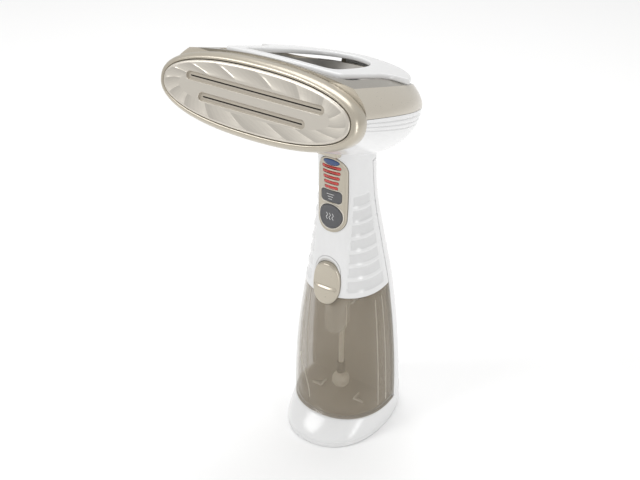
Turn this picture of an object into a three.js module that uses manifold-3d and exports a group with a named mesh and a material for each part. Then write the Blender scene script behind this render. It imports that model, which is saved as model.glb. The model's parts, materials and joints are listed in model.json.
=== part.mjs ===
// A handheld garment steamer standing on its own base, in millimetres, +Z up.
// The origin is the middle of the base's underside. The steam plate faces -Y and the
// handle stands on +Z. The head is tilted back, so it is modelled in a turned group whose
// own axes are X (across), Y (depth, from the plate to the back) and Z (up the plate).
import * as THREE from "three";
import { mergeVertices } from "three/addons/utils/BufferGeometryUtils.js";
import Module from "manifold-3d";

const wasm = await Module();
wasm.setup();

// ---- driving dimensions -------------------------------------------------------------
const GAP = 0.3; // left between pieces that touch
const WALL = 2.2; // moulded shells

// Column: half width, front and back of the cross-section at a few heights.
const COLUMN_EXPONENT = 2.2;
const HALF_WIDTH = [
  [0, 39.6], [40, 39.6], [85, 36.9], [130, 31.3], [165, 25.8], [203, 20.6], [235, 19.6], [300, 19.6],
];
const FRONT = [
  [0, -38.5], [40, -39.6], [85, -37.6], [130, -31.6], [165, -27.8], [203, -24.9], [235, -25.5], [300, -26.5],
];
const BACK = [
  [0, 49.5], [40, 46.4], [85, 42.4], [130, 35.8], [165, 27.7], [203, 19.6], [235, 16.6], [300, 15.5],
];

const TANK_FLOOR = 20; // underside of the water tank
const TANK_TOP = 129.7; // top of the water tank
const TANK_WALL = 2;
const SEAM = 130; // lower edge of the grip
const SPLIT = [[0, 12.5], [SEAM, 9.5], [255, -4]]; // height and Y of the seam to the rear cover
const REAR_TOP = 233; // top of the rear cover

const BASE_HALF_X = 39.6;
const BASE_HALF_Y = 53.6;
const BASE_Y = 0;
const BASE_EXPONENT = 2.25;
const BASE_TOP = 19.6; // seat for the tank

const HEAD_TILT = THREE.MathUtils.degToRad(17.5);
const HEAD_ORIGIN = new THREE.Vector3(0, -113, 312);
const PLATE = { halfX: 67, halfZ: 19, z: 1.9, exponent: 2.3, front: -3, back: 4.5 };
const BEZEL = { halfX: 72, halfZ: 24, front: 0, back: 9 };
const SHELL = { halfX: 70.5, start: 9.3, back: 138, seam: 6.6, plan: 3, section: 2.3 };
const SHELL_RISE = 20.5; // above the seam
const SHELL_DROP = [[9.3, 28], [50, 36], [100, 44], [138, 45]]; // below the seam, by depth
const SHELL_END = 0.985; // share of the depth where the shell's rows stop
const SLOTS = [{ z: 7.3, half: 47 }, { z: -3.5, half: 36 }];
const SLOT_RECESS = 5;
const SLOT_SLIT = 1.6;

const PANEL = { halfX: 11.8, bottom: 181.8, top: 240.6, proud: 0.7 };
const STEAM_BUTTON = { z: 194.3, radius: 9.2 };
const SETTING_BUTTON = { z: 210, halfX: 8.3, halfZ: 4.6, radius: 2.6 };
const LED = { low: 217, pitch: 4, height: 2.1, narrow: 10.4, wide: 15, count: 5 };
const RELEASE = { z: 139.5, halfX: 11.3, halfZ: 16.5, proud: 2 };

// ---- materials ----------------------------------------------------------------------
const finish = (color, roughness, metalness = 0, opacity = 1) =>
  new THREE.MeshStandardMaterial({ color, roughness, metalness, opacity, transparent: opacity < 1 });
const WHITE = finish(0xf4f4f3, 0.22);
const CHAMPAGNE = finish(0xbdb09c, 0.3, 0.35);
const PLATE_METAL = finish(0xcfc6bb, 0.28, 0.6);
const GREY = finish(0x6b6b6d, 0.45);
const LIGHT_GREY = finish(0xb9bab9, 0.4);
const BLACK = finish(0x222324, 0.6);
const SMOKE = finish(0x7d7567, 0.08, 0, 0.45);
const CLEAR = finish(0xdfe3e2, 0.06, 0, 0.4);
const RED = finish(0xc8352c, 0.3);
const BLUE = finish(0x23407f, 0.25);
const RUBBER = finish(0x2f2f30, 0.85);
const SILICONE = finish(0xd8d2c6, 0.6);
const ALUMINIUM = finish(0xb9bcc0, 0.4, 0.9);
const STEEL = finish(0x9da1a5, 0.3, 1);
const BRASS = finish(0xb79a55, 0.35, 1);
const BOARD = finish(0x2f6b3d, 0.6);

// ---- solids -------------------------------------------------------------------------
function solid(geometry) {
  const bare = geometry.clone();
  bare.deleteAttribute("normal");
  bare.deleteAttribute("uv");
  const merged = mergeVertices(bare, 1e-4);
  return new wasm.Manifold(new wasm.Mesh({
    numProp: 3,
    vertProperties: merged.attributes.position.array,
    triVerts: new Uint32Array(merged.index.array),
  }));
}

function geometryOf(manifold) {
  const mesh = manifold.getMesh();
  const geometry = new THREE.BufferGeometry();
  geometry.setAttribute("position", new THREE.BufferAttribute(new Float32Array(mesh.vertProperties), 3));
  geometry.setIndex(new THREE.BufferAttribute(new Uint32Array(mesh.triVerts), 1));
  geometry.computeVertexNormals();
  return geometry;
}

const signedPower = (value, power) => Math.sign(value) * Math.abs(value) ** power;

// A closed solid whose rows are sections: place(cos, sin, reach, row) gives each point, with
// reach 0 in the middle of an end face and 1 on the wall, and row from 0 to 1.
function loft(around, rows, place) {
  const geometry = new THREE.CylinderGeometry(1, 1, 1, around, rows);
  const points = geometry.getAttribute("position");
  for (let i = 0; i < points.count; i++) {
    const x = points.getX(i);
    const z = points.getZ(i);
    const reach = Math.min(1, Math.hypot(x, z));
    const p = place(reach ? x / reach : 1, reach ? z / reach : 0, reach, points.getY(i) + 0.5);
    points.setXYZ(i, p.x, p.y, p.z);
  }
  return solid(geometry);
}

// Smooth value of a driving table at a height.
function along(table, height) {
  const last = table.length - 1;
  let k = 0;
  while (k < last - 1 && height > table[k + 1][0]) k++;
  const slope = (i) => {
    const low = table[Math.max(0, i - 1)];
    const high = table[Math.min(last, i + 1)];
    return (high[1] - low[1]) / (high[0] - low[0]);
  };
  const [z0, v0] = table[k];
  const [z1, v1] = table[k + 1];
  const span = z1 - z0;
  const t = THREE.MathUtils.clamp((height - z0) / span, 0, 1);
  const rise = v0 + (v1 - v0) * t * t * (3 - 2 * t);
  return rise + span * t * (1 - t) * (slope(k) * (1 - t) - slope(k + 1) * t);
}

const straight = (table, height) => {
  const k = height > table[1][0] && table.length > 2 ? 1 : 0;
  const [z0, v0] = table[k];
  const [z1, v1] = table[k + 1];
  return v0 + ((v1 - v0) * (height - z0)) / (z1 - z0);
};

// The column's solid from one height to another, drawn in by inset all round.
function column(low, high, inset, around = 28, rows = 6) {
  return loft(around, rows, (c, s, reach, row) => {
    const z = low + (high - low) * row;
    const halfX = along(HALF_WIDTH, z) - inset;
    const front = along(FRONT, z) + inset;
    const back = along(BACK, z) - inset;
    const power = 2 / COLUMN_EXPONENT;
    return new THREE.Vector3(
      reach * halfX * signedPower(c, power),
      (front + back) / 2 - (reach * (back - front) * signedPower(s, power)) / 2,
      z,
    );
  });
}

function box(x0, x1, y0, y1, z0, z1) {
  const geometry = new THREE.BoxGeometry(x1 - x0, y1 - y0, z1 - z0);
  return solid(geometry.translate((x0 + x1) / 2, (y0 + y1) / 2, (z0 + z1) / 2));
}

// A prism through Y of an outline drawn in X and Z.
function prismY(shape, y0, y1, curveSegments = 10) {
  const geometry = new THREE.ExtrudeGeometry(shape, { depth: y1 - y0, bevelEnabled: false, curveSegments });
  return solid(geometry.rotateX(Math.PI / 2).translate(0, y1, 0));
}

// A prism through Z of an outline drawn in X and Y.
function prismZ(shape, z0, z1, curveSegments = 10) {
  const geometry = new THREE.ExtrudeGeometry(shape, { depth: z1 - z0, bevelEnabled: false, curveSegments });
  return solid(geometry.translate(0, 0, z0));
}

// A prism through X of an outline drawn in Y and Z.
function prismX(shape, x0, x1, curveSegments = 10) {
  const geometry = new THREE.ExtrudeGeometry(shape, { depth: x1 - x0, bevelEnabled: false, curveSegments });
  const toYZ = new THREE.Matrix4().set(0, 0, 1, x0, 1, 0, 0, 0, 0, 1, 0, 0, 0, 0, 0, 1);
  return solid(geometry.applyMatrix4(toYZ));
}

const polygon = (points) => new THREE.Shape(points.map(([x, y]) => new THREE.Vector2(x, y)));

function superellipse(halfX, halfY, exponent, centreX = 0, centreY = 0, count = 48) {
  const points = [];
  for (let i = 0; i < count; i++) {
    const angle = (2 * Math.PI * i) / count;
    const power = 2 / exponent;
    points.push([
      centreX + halfX * signedPower(Math.cos(angle), power),
      centreY + halfY * signedPower(Math.sin(angle), power),
    ]);
  }
  return polygon(points);
}

function roundedRect(x0, x1, y0, y1, radius) {
  const shape = new THREE.Shape();
  shape.moveTo(x1, y0 + radius);
  shape.lineTo(x1, y1 - radius);
  shape.absarc(x1 - radius, y1 - radius, radius, 0, Math.PI / 2);
  shape.lineTo(x0 + radius, y1);
  shape.absarc(x0 + radius, y1 - radius, radius, Math.PI / 2, Math.PI);
  shape.lineTo(x0, y0 + radius);
  shape.absarc(x0 + radius, y0 + radius, radius, Math.PI, 1.5 * Math.PI);
  shape.lineTo(x1 - radius, y0);
  shape.absarc(x1 - radius, y0 + radius, radius, 1.5 * Math.PI, 2 * Math.PI);
  return shape;
}

function disc(radius, x = 0, y = 0) {
  const shape = new THREE.Shape();
  shape.absarc(x, y, radius, 0, 2 * Math.PI);
  return shape;
}

function tube(points, radius, sides = 8, steps = 20) {
  const path = new THREE.CatmullRomCurve3(points.map((p) => new THREE.Vector3(...p)), false, "centripetal");
  return solid(new THREE.ExtrudeGeometry(disc(radius), {
    steps, bevelEnabled: false, extrudePath: path, curveSegments: sides,
  }));
}

const cut = (first, ...others) => others.reduce((a, b) => a.subtract(b), first);
const join = (first, ...others) => others.reduce((a, b) => a.add(b), first);

// ---- assembly tree ------------------------------------------------------------------
const steamer = new THREE.Group();
const head = new THREE.Group();
head.position.copy(HEAD_ORIGIN);
head.rotation.x = -HEAD_TILT;
steamer.add(head);
head.updateMatrixWorld(true);

function add(parent, name, manifold, material) {
  const mesh = new THREE.Mesh(geometryOf(manifold), material);
  mesh.name = name;
  parent.add(mesh);
  return mesh;
}

// A head-frame solid moved into the part's frame.
const fromHead = (manifold) => manifold.transform(head.matrixWorld.elements);

// ---- seams and regions --------------------------------------------------------------
const BIG = 200;
const splitPrism = (shift, low, high) => prismX(polygon([
  [straight(SPLIT, low) + shift, low],
  [BIG, low],
  [BIG, high],
  [straight(SPLIT, high) + shift, high],
  ...(low < SEAM && high > SEAM ? [[straight(SPLIT, SEAM) + shift, SEAM]] : []),
]), -BIG, BIG);

// ---- head shells --------------------------------------------------------------------
const shellHalfX = (d, inset) => {
  const reach = SHELL.back - inset - SHELL.start;
  const u = THREE.MathUtils.clamp((d - SHELL.start) / reach, 0, 1);
  return Math.max(0.5, (SHELL.halfX - inset) * (1 - u ** SHELL.plan) ** (1 / SHELL.plan));
};
const backFade = (d, inset, power) => {
  const u = THREE.MathUtils.clamp((d - SHELL.start) / (SHELL.back - inset - SHELL.start), 0, 1);
  return (1 - u ** power) ** (1 / power);
};

function headLoft(start, inset) {
  return loft(inset ? 28 : 36, inset ? 8 : 11, (c, s, reach, row) => {
    const end = (SHELL.back - inset - SHELL.start) * SHELL_END + SHELL.start;
    const d = start + (end - start) * Math.sin((row * Math.PI) / 2);
    const power = 2 / SHELL.section;
    const up = (SHELL_RISE - inset) * backFade(d, inset, 3);
    const down = (along(SHELL_DROP, d) - inset) * backFade(d, inset, 3.4);
    const rise = s > 0 ? up : down;
    return new THREE.Vector3(
      reach * shellHalfX(d, inset) * signedPower(c, power),
      d,
      SHELL.seam + reach * rise * signedPower(s, power),
    );
  });
}

const headOuter = headLoft(SHELL.start, 0);
const headInner = headLoft(SHELL.start - 2, WALL);
const aboveSeam = box(-BIG, BIG, -BIG, BIG, SHELL.seam + GAP / 2, BIG);
const belowSeam = box(-BIG, BIG, -BIG, BIG, -BIG, SHELL.seam - GAP / 2);

// The top recess that the loop lies in, with room for fingers under the loop's front bar.
const TRAY = { halfX: 47, front: 12.6, back: 117, radius: 16, floor: 14.5, wall: 1.8 };
const trayPlan = (shrink) => roundedRect(
  -TRAY.halfX + shrink, TRAY.halfX - shrink, TRAY.front + shrink, TRAY.back - shrink, TRAY.radius - shrink,
);
const HINGE = { y: 125.4, z: 22.4, barrel: 3, pin: 1.5, half: 12, post: 3.2 };
const hingePost = (low, high) => join(
  prismX(disc(HINGE.barrel - 0.2, HINGE.y, HINGE.z), low, high, 5),
  box(low, high, HINGE.y - 2.6, HINGE.y + 2.6, 16, HINGE.z),
);
const postNear = HINGE.half + GAP;
const postFar = postNear + HINGE.post;
const hingePosts = join(hingePost(-postFar, -postNear), hingePost(postNear, postFar));
const hingeBore = prismX(disc(HINGE.pin + GAP, HINGE.y, HINGE.z), -BIG, BIG, 4);
const barrelRoom = box(-HINGE.half - GAP, HINGE.half + GAP, HINGE.y - 4.2, BIG, HINGE.z - 3.8, BIG);
const upperShell = cut(
  join(cut(headOuter.intersect(aboveSeam), headInner, prismZ(trayPlan(0), 0, BIG), barrelRoom), hingePosts),
  hingeBore,
);
add(head, "head_upper_shell", upperShell, CHAMPAGNE);

const LOUVRE = { halfX: 24, front: 74, back: 104, radius: 5, slot: 2, pitch: 5 };
const louvrePlan = (shrink) => {
  const halfX = LOUVRE.halfX - shrink;
  return roundedRect(-halfX, halfX, LOUVRE.front + shrink, LOUVRE.back - shrink, LOUVRE.radius - shrink);
};
const tray = cut(
  prismZ(trayPlan(GAP), TRAY.floor - 2, BIG).intersect(headLoft(SHELL.start - 2, 0.6)),
  prismZ(trayPlan(GAP + TRAY.wall), TRAY.floor, BIG),
  prismZ(louvrePlan(0), 0, BIG),
);
add(head, "top_tray", tray, CHAMPAGNE);

// The dark louvre set in the tray.
let louvre = prismZ(louvrePlan(GAP), TRAY.floor - 2, TRAY.floor - 0.2, 5);
for (let y = LOUVRE.front + 5; y < LOUVRE.back - 4; y += LOUVRE.pitch) {
  louvre = louvre.subtract(box(-LOUVRE.halfX + 5, LOUVRE.halfX - 5, y, y + LOUVRE.slot, 0, BIG));
}
add(head, "top_louvre", louvre, BLACK);

// ---- plate, bezel and steam chamber ---------------------------------------------------
const ovalPlan = (of, grow) => superellipse(of.halfX + grow, of.halfZ + grow, PLATE.exponent, 0, PLATE.z, 40);
const platePlan = (grow) => ovalPlan(PLATE, grow);
const slotRecess = ({ z, half }, grow, y0, y1) => {
  const r = SLOT_RECESS / 2 + grow;
  return prismY(roundedRect(-half - 2.5 - grow, half + 2.5 + grow, z - r, z + r, r - 0.01), y0, y1, 4);
};
let plate = join(
  prismY(platePlan(-1.2), PLATE.front, PLATE.front + 1.2),
  prismY(platePlan(0), PLATE.front + 1.2, PLATE.back),
);
for (const slot of SLOTS) {
  plate = cut(
    plate,
    slotRecess(slot, 0, PLATE.front - 1, PLATE.front + 1.7),
    box(-slot.half, slot.half, -BIG, BIG, slot.z - SLOT_SLIT / 2, slot.z + SLOT_SLIT / 2),
  );
}
add(head, "steam_plate", plate, PLATE_METAL);

const BEZEL_STEP = 1.5;
const bezel = cut(
  join(
    prismY(ovalPlan(BEZEL, -BEZEL_STEP), BEZEL.front, BEZEL.front + BEZEL_STEP),
    prismY(ovalPlan(BEZEL, 0), BEZEL.front + BEZEL_STEP, BEZEL.back),
  ),
  prismY(platePlan(GAP + 1), BEZEL.front - 1, BEZEL.front + 5),
  prismY(platePlan(-4), BEZEL.front, BEZEL.back + 1),
);
add(head, "bezel_ring", bezel, CHAMPAGNE);

const CHAMBER = { halfX: 54, halfZ: 9.4, front: PLATE.back + GAP + 1.5, back: 32 };
const chamberPlan = (grow) => superellipse(CHAMBER.halfX + grow, CHAMBER.halfZ + grow, 3, 0, PLATE.z, 32);
const chamber = cut(
  prismY(chamberPlan(0), CHAMBER.front, CHAMBER.back),
  prismY(chamberPlan(-3), CHAMBER.front - 1, CHAMBER.front + 9),
  prismY(disc(3.2, -30, PLATE.z), CHAMBER.back - 8, CHAMBER.back + 1, 6),
);
add(head, "steam_chamber", chamber, ALUMINIUM);
const gasket = cut(
  prismY(chamberPlan(0), PLATE.back + GAP, CHAMBER.front - GAP),
  prismY(chamberPlan(-3), PLATE.back, CHAMBER.front),
);
add(head, "chamber_gasket", gasket, SILICONE);

const ELEMENT_Y = CHAMBER.back + 4;
const element = tube([
  [44, ELEMENT_Y + 14, -4], [44, ELEMENT_Y + 5, -4], [38, ELEMENT_Y, -5], [0, ELEMENT_Y, -5],
  [-40, ELEMENT_Y, -5], [-46, ELEMENT_Y, 1.6], [-40, ELEMENT_Y, 8.4], [0, ELEMENT_Y, 8.8],
  [38, ELEMENT_Y, 8.4], [44, ELEMENT_Y + 5, 7.5], [44, ELEMENT_Y + 14, 7.5],
], 2.6, 3, 26);
add(head, "heating_element", element, STEEL);

const thermostat = join(
  prismY(disc(4, 12, 2), CHAMBER.back + GAP, CHAMBER.back + 7),
  box(9, 10.5, CHAMBER.back + 6, CHAMBER.back + 13, 1, 3),
  box(13.5, 15, CHAMBER.back + 6, CHAMBER.back + 13, 1, 3),
);
add(head, "thermostat", thermostat, BRASS);

const thermalFuse = join(
  prismX(disc(2.6, CHAMBER.back + 3.2, 2), -22, -8, 4),
  prismX(disc(0.7, CHAMBER.back + 3.2, 2), -26, -4, 3),
);
add(head, "thermal_fuse", thermalFuse, LIGHT_GREY);

// ---- loop ---------------------------------------------------------------------------
const LOOP = { z: 24.6, thick: 3.4, crown: 3.4 };
function loopPlan(grow) {
  const shape = new THREE.Shape();
  shape.moveTo(0, 15.6 - grow);
  shape.quadraticCurveTo(34 + grow, 15.6 - grow, 42 + grow, 24);
  shape.lineTo(44 + grow, 70);
  shape.quadraticCurveTo(46 + grow, 80, 57 + grow, 83 - grow);
  shape.bezierCurveTo(52 + grow, 104 + grow, 30, 124 + grow, 0, 127 + grow);
  shape.bezierCurveTo(-30, 124 + grow, -52 - grow, 104 + grow, -57 - grow, 83 - grow);
  shape.quadraticCurveTo(-46 - grow, 80, -44 - grow, 70);
  shape.lineTo(-42 - grow, 24);
  shape.quadraticCurveTo(-34 - grow, 15.6 - grow, 0, 15.6 - grow);
  return shape;
}
const loopOpening = new THREE.Shape();
loopOpening.moveTo(-26, 27);
loopOpening.quadraticCurveTo(0, 23, 26, 27);
loopOpening.quadraticCurveTo(33, 29, 32, 40);
loopOpening.bezierCurveTo(30, 80, 24, 108, 0, 112);
loopOpening.bezierCurveTo(-24, 108, -30, 80, -32, 40);
loopOpening.quadraticCurveTo(-33, 29, -26, 27);

// The loop is crowned: it falls towards its sides.
const crownFall = (x) => LOOP.crown * Math.min(1, Math.abs(x) / 58) ** 2;
let loop = cut(
  prismZ(loopPlan(0), LOOP.z, LOOP.z + LOOP.thick, 8),
  prismZ(loopOpening, 0, BIG, 8),
).refineToLength(30).warp((p) => {
  p[2] -= crownFall(p[0]);
});
const postRoom = HINGE.half + HINGE.post + 2 * GAP;
for (const side of [-1, 1]) {
  const low = side < 0 ? -postRoom : HINGE.half;
  const high = side < 0 ? -HINGE.half : postRoom;
  loop = loop.subtract(box(low, high, HINGE.y - 4, BIG, 0, BIG));
}
loop = join(
  loop,
  prismX(disc(HINGE.barrel, HINGE.y, HINGE.z), -HINGE.half, HINGE.half, 5),
  box(-HINGE.half, HINGE.half, HINGE.y - 2.4, HINGE.y + 1.5, HINGE.z, LOOP.z + 1),
);
loop = loop.subtract(hingeBore);
add(head, "hang_loop", loop, WHITE);
add(head, "loop_pin", prismX(disc(HINGE.pin, HINGE.y, HINGE.z), -postRoom, postRoom, 4), STEEL);

const CATCH = { halfX: 13.5, front: 19, back: 27 };
const catchPlan = roundedRect(-CATCH.halfX, CATCH.halfX, CATCH.front, CATCH.back, 2);
add(head, "loop_catch", prismZ(catchPlan, TRAY.floor + GAP, LOOP.z - 0.6, 3), GREY);

// ---- main body ----------------------------------------------------------------------
const SHELF = 2; // thickness of cross walls
const columnTop = 289;
const headLowerOuter = fromHead(headOuter.intersect(belowSeam));
const underSeam = fromHead(belowSeam);
const columnOuter = (low, high, inset, rows) => column(low, high, inset, 32, rows).intersect(underSeam);
const rearRegion = splitPrism(0, -1, REAR_TOP);
const rearRegionWide = splitPrism(-GAP, -1, REAR_TOP + GAP);
const panelPrism = (grow, y0, y1) =>
  prismY(roundedRect(
    -PANEL.halfX - grow, PANEL.halfX + grow, PANEL.bottom - grow, PANEL.top + grow, 11 + grow,
  ), y0, y1, 6);
const releasePrism = (grow, y0, y1) =>
  prismY(superellipse(RELEASE.halfX + grow, RELEASE.halfZ + grow, 2.4, 0, RELEASE.z, 24), y0, y1);
const steamPrism = (grow, y0, y1) => {
  const { z, radius } = STEAM_BUTTON;
  return prismY(disc(radius + grow, 0, z), y0, y1, 10);
};
const settingPrism = (grow, y0, y1) => {
  const { z, halfX, halfZ, radius } = SETTING_BUTTON;
  const [x, half] = [halfX + grow, halfZ + grow];
  return prismY(roundedRect(-x, x, z - half, z + half, radius + grow), y0, y1, 3);
};

const FRONT_FAR = -60;
const panelSeat = panelPrism(GAP, FRONT_FAR, 0).subtract(column(170, 255, 1.6, 28, 5));
const releaseDeep = -14; // how far back the release button's well runs
const THUMB = { y: -36, z: 150, radius: 14.5 };
const sphere = (radius, y, z) => solid(new THREE.SphereGeometry(radius, 16, 10)).translate([0, y, z]);
const thumbBall = (radius) => sphere(radius, THUMB.y, THUMB.z);
const bodyOuter = join(headLowerOuter, columnOuter(SEAM, columnTop, 0, 8));
const bodyInner = join(
  fromHead(headInner.intersect(box(-BIG, BIG, -BIG, BIG, -BIG, SHELL.seam + 5))),
  column(SEAM + SHELF, columnTop + 4, WALL, 24, 7),
);
const springSeat = box(-13, 13, releaseDeep, releaseDeep + 2, SEAM + 1, 150);
const CATCH_TAB = { halfX: 9.5, front: -33, back: -26.5, low: 244, high: 249 };
const tabBox = (grow) => box(
  -CATCH_TAB.halfX - grow, CATCH_TAB.halfX + grow, CATCH_TAB.front - grow, CATCH_TAB.back + grow,
  CATCH_TAB.low - grow, CATCH_TAB.high + grow,
);
const bodyShell = cut(
  join(
    cut(bodyOuter, bodyInner),
    springSeat.intersect(bodyOuter),
    thumbBall(THUMB.radius + WALL).intersect(bodyOuter),
  ),
  tabBox(GAP),
  rearRegionWide,
  panelSeat,
  panelPrism(-1.5, FRONT_FAR, -5),
  releasePrism(GAP, FRONT_FAR, releaseDeep),
  thumbBall(THUMB.radius),
);
add(steamer, "body_shell", bodyShell, WHITE);
add(steamer, "attachment_catch", tabBox(0), CHAMPAGNE);

// The long rear cover from the base to the neck.
const rearOuter = column(0.5 + BASE_TOP, REAR_TOP + 1, 0, 32, 9).intersect(rearRegion);
const rearCover = cut(rearOuter, column(BASE_TOP - 1, REAR_TOP + 3, WALL, 24, 8));
add(steamer, "rear_cover", rearCover, WHITE);

// The upright wall that the tank backs on to.
const backWall = column(BASE_TOP + 0.5, SEAM - GAP, WALL + GAP, 24, 4)
  .intersect(splitPrism(0.4, BASE_TOP, SEAM))
  .subtract(splitPrism(0.4 + SHELF, BASE_TOP - 5, SEAM + 5));
const NIPPLE = { z: 108, outer: 4, inner: 2 };
const nippleY = straight(SPLIT, NIPPLE.z);
const nippleOuter = prismY(disc(NIPPLE.outer, 0, NIPPLE.z), nippleY - 5, nippleY + 9, 6);
const nippleBore = prismY(disc(NIPPLE.inner, 0, NIPPLE.z), nippleY - 6, nippleY + 10, 5);
add(steamer, "tank_back_wall", cut(join(backWall, nippleOuter), nippleBore), WHITE);

// ---- controls -----------------------------------------------------------------------
const ledBars = Array.from({ length: LED.count }, (_, i) => {
  const z = LED.low + i * LED.pitch;
  const half = (LED.narrow + ((LED.wide - LED.narrow) * i) / (LED.count - 1)) / 2;
  return { z, half };
});
const ledPrism = ({ z, half }, grow) => {
  const [x, rise] = [half + grow, LED.height / 2 + grow];
  return prismY(roundedRect(-x, x, z - rise, z + rise, 0.6), FRONT_FAR, 0, 2);
};
const LENS = { z: LED.low + LED.count * LED.pitch, halfX: 6.3, halfZ: 2.2 };
const lensPrism = (grow) => {
  const plan = superellipse(LENS.halfX + grow, LENS.halfZ + grow, 2, 0, LENS.z, 20);
  return prismY(plan, FRONT_FAR, 0);
};

const skin = (outward, inward, low, high, rows = 4) =>
  column(low, high, -outward, 28, rows).subtract(column(low - 1, high + 1, inward, 28, rows));
const panelSkin = skin(PANEL.proud, 1.3, 178, 246).intersect(panelPrism(0, FRONT_FAR, 0));
const panel = cut(
  panelSkin,
  steamPrism(GAP, FRONT_FAR, 0),
  settingPrism(GAP, FRONT_FAR, 0),
  lensPrism(GAP),
  ...ledBars.map((bar) => ledPrism(bar, GAP)),
);
add(steamer, "control_panel", panel, CHAMPAGNE);

add(steamer, "steam_button", skin(1.8, 3, 178, 212, 3).intersect(steamPrism(0, FRONT_FAR, 0)), GREY);
add(steamer, "setting_button", skin(1.5, 3, 203, 225, 3).intersect(settingPrism(0, FRONT_FAR, 0)), GREY);
add(steamer, "ready_lens", skin(0.9, 1.2, 236, 246, 2).intersect(lensPrism(0)), BLUE);
ledBars.forEach((bar, i) => {
  const lit = skin(0.9, 1.2, bar.z - 3, bar.z + 3, 1).intersect(ledPrism(bar, 0));
  add(steamer, `led_bar_${i + 1}`, lit, RED);
});

const BOARD_FRONT = -15;
const board = box(-11, 11, BOARD_FRONT, BOARD_FRONT + 1.6, 186, 244);
add(steamer, "control_board", board, BOARD);
for (const [name, z] of [["steam_switch", STEAM_BUTTON.z], ["setting_switch", SETTING_BUTTON.z]]) {
  const body = box(-3, 3, BOARD_FRONT - 3.5, BOARD_FRONT - GAP, z - 3, z + 3);
  const plunger = prismY(disc(1.7, 0, z), BOARD_FRONT - 5, BOARD_FRONT - 3, 4);
  add(steamer, name, join(body, plunger), BLACK);
}

const releaseSkin = skin(RELEASE.proud, 2.6, 118, 158, 5).intersect(releasePrism(0, FRONT_FAR, 0));
const releaseRib = box(-8, 8, FRONT_FAR, -30, RELEASE.z - 5, RELEASE.z - 3.6)
  .intersect(releasePrism(-1.5, FRONT_FAR, 0));
const ribSkin = releaseRib.intersect(skin(RELEASE.proud + 0.7, 1, 128, 142, 2));
add(steamer, "release_button", join(releaseSkin, ribSkin), CHAMPAGNE);

const SPRING = { y: releaseDeep - GAP - 0.6, length: 8, radius: 3.2, wire: 0.55, turns: 4 };
const springPath = [];
for (let i = 0; i <= SPRING.turns * 8; i++) {
  const angle = (i * Math.PI) / 4;
  springPath.push([
    SPRING.radius * Math.cos(angle),
    SPRING.y - (SPRING.length * i) / (SPRING.turns * 8),
    RELEASE.z + 6 + SPRING.radius * Math.sin(angle),
  ]);
}
add(steamer, "release_spring", tube(springPath, SPRING.wire, 2, SPRING.turns * 10), STEEL);

// ---- water tank ---------------------------------------------------------------------
const tankOuter = cut(column(TANK_FLOOR, TANK_TOP, 0, 32, 6), splitPrism(-GAP, TANK_FLOOR - 5, SEAM + 5));
const tankInner = cut(
  column(TANK_FLOOR + TANK_WALL, TANK_TOP - TANK_WALL, TANK_WALL, 24, 5),
  splitPrism(-GAP - TANK_WALL, TANK_FLOOR - 5, SEAM + 5),
  releasePrism(GAP + TANK_WALL, FRONT_FAR, along(FRONT, RELEASE.z) + 8),
);
const FILLER = { x: 14, y: -12, radius: 7.5 };
const fillerHole = prismZ(disc(FILLER.radius, FILLER.x, FILLER.y), TANK_TOP - 5, BIG, 6);
const nippleHole = prismY(disc(NIPPLE.outer + GAP, 0, NIPPLE.z), nippleY - 6, nippleY + 5, 6);
const tankShell = cut(
  tankOuter,
  tankInner,
  releasePrism(GAP, FRONT_FAR, along(FRONT, RELEASE.z) + 5.5),
  fillerHole,
  nippleHole,
);
add(steamer, "tank_shell", tankShell, SMOKE);

const fillerCap = prismZ(disc(FILLER.radius - GAP, FILLER.x, FILLER.y), TANK_TOP - 3.6, TANK_TOP - 0.2, 6);
add(steamer, "filler_cap", fillerCap, SILICONE);

const TUBE_Y = -6.5; // the suction tube hangs from the back of the elbow
const ELBOW = { y: -13.5, low: 88, high: 117, halfX: 8, halfY: 12.5 };
const valveFront = nippleY - GAP - TANK_WALL - GAP - 6;
const valve = cut(
  prismY(disc(6.4, 0, NIPPLE.z), valveFront, valveFront + 6, 7),
  prismY(disc(NIPPLE.outer + GAP, 0, NIPPLE.z), valveFront + 1.5, valveFront + 7, 6),
  nippleBore,
);
add(steamer, "tank_valve", valve, LIGHT_GREY);
const elbowPlan = superellipse(ELBOW.halfX, ELBOW.halfY, 2.6, 0, ELBOW.y, 24);
const suctionBore = prismZ(disc(2.4, 0, TUBE_Y), ELBOW.low - 1, NIPPLE.z, 5);
const outletElbow = cut(
  join(
    prismZ(elbowPlan, ELBOW.low + 3, ELBOW.high - 2),
    prismZ(superellipse(ELBOW.halfX - 2.5, ELBOW.halfY - 2.5, 2.2, 0, ELBOW.y, 24), ELBOW.low, ELBOW.high),
    prismY(disc(5, 0, NIPPLE.z), TUBE_Y, valveFront - GAP, 6),
  ),
  suctionBore,
  prismY(disc(NIPPLE.inner, 0, NIPPLE.z), TUBE_Y, valveFront + 1, 5),
);
add(steamer, "outlet_elbow", outletElbow, CLEAR);

const FILTER = { z: 33, radius: 7.2 };
const suctionTube = cut(
  prismZ(disc(2.1, 0, TUBE_Y), FILTER.z + 12, ELBOW.low - GAP, 5),
  prismZ(disc(1.1, 0, TUBE_Y), 0, BIG, 4),
);
add(steamer, "suction_tube", suctionTube, SILICONE);
const sleeve = cut(
  prismZ(disc(3.4, 0, TUBE_Y), FILTER.z + 7.6, FILTER.z + 18, 6),
  prismZ(disc(2.4, 0, TUBE_Y), FILTER.z + 11.7, BIG, 5),
);
add(steamer, "filter_sleeve", sleeve, BLACK);
add(steamer, "weighted_filter", sphere(FILTER.radius, TUBE_Y, FILTER.z), SILICONE);

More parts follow.
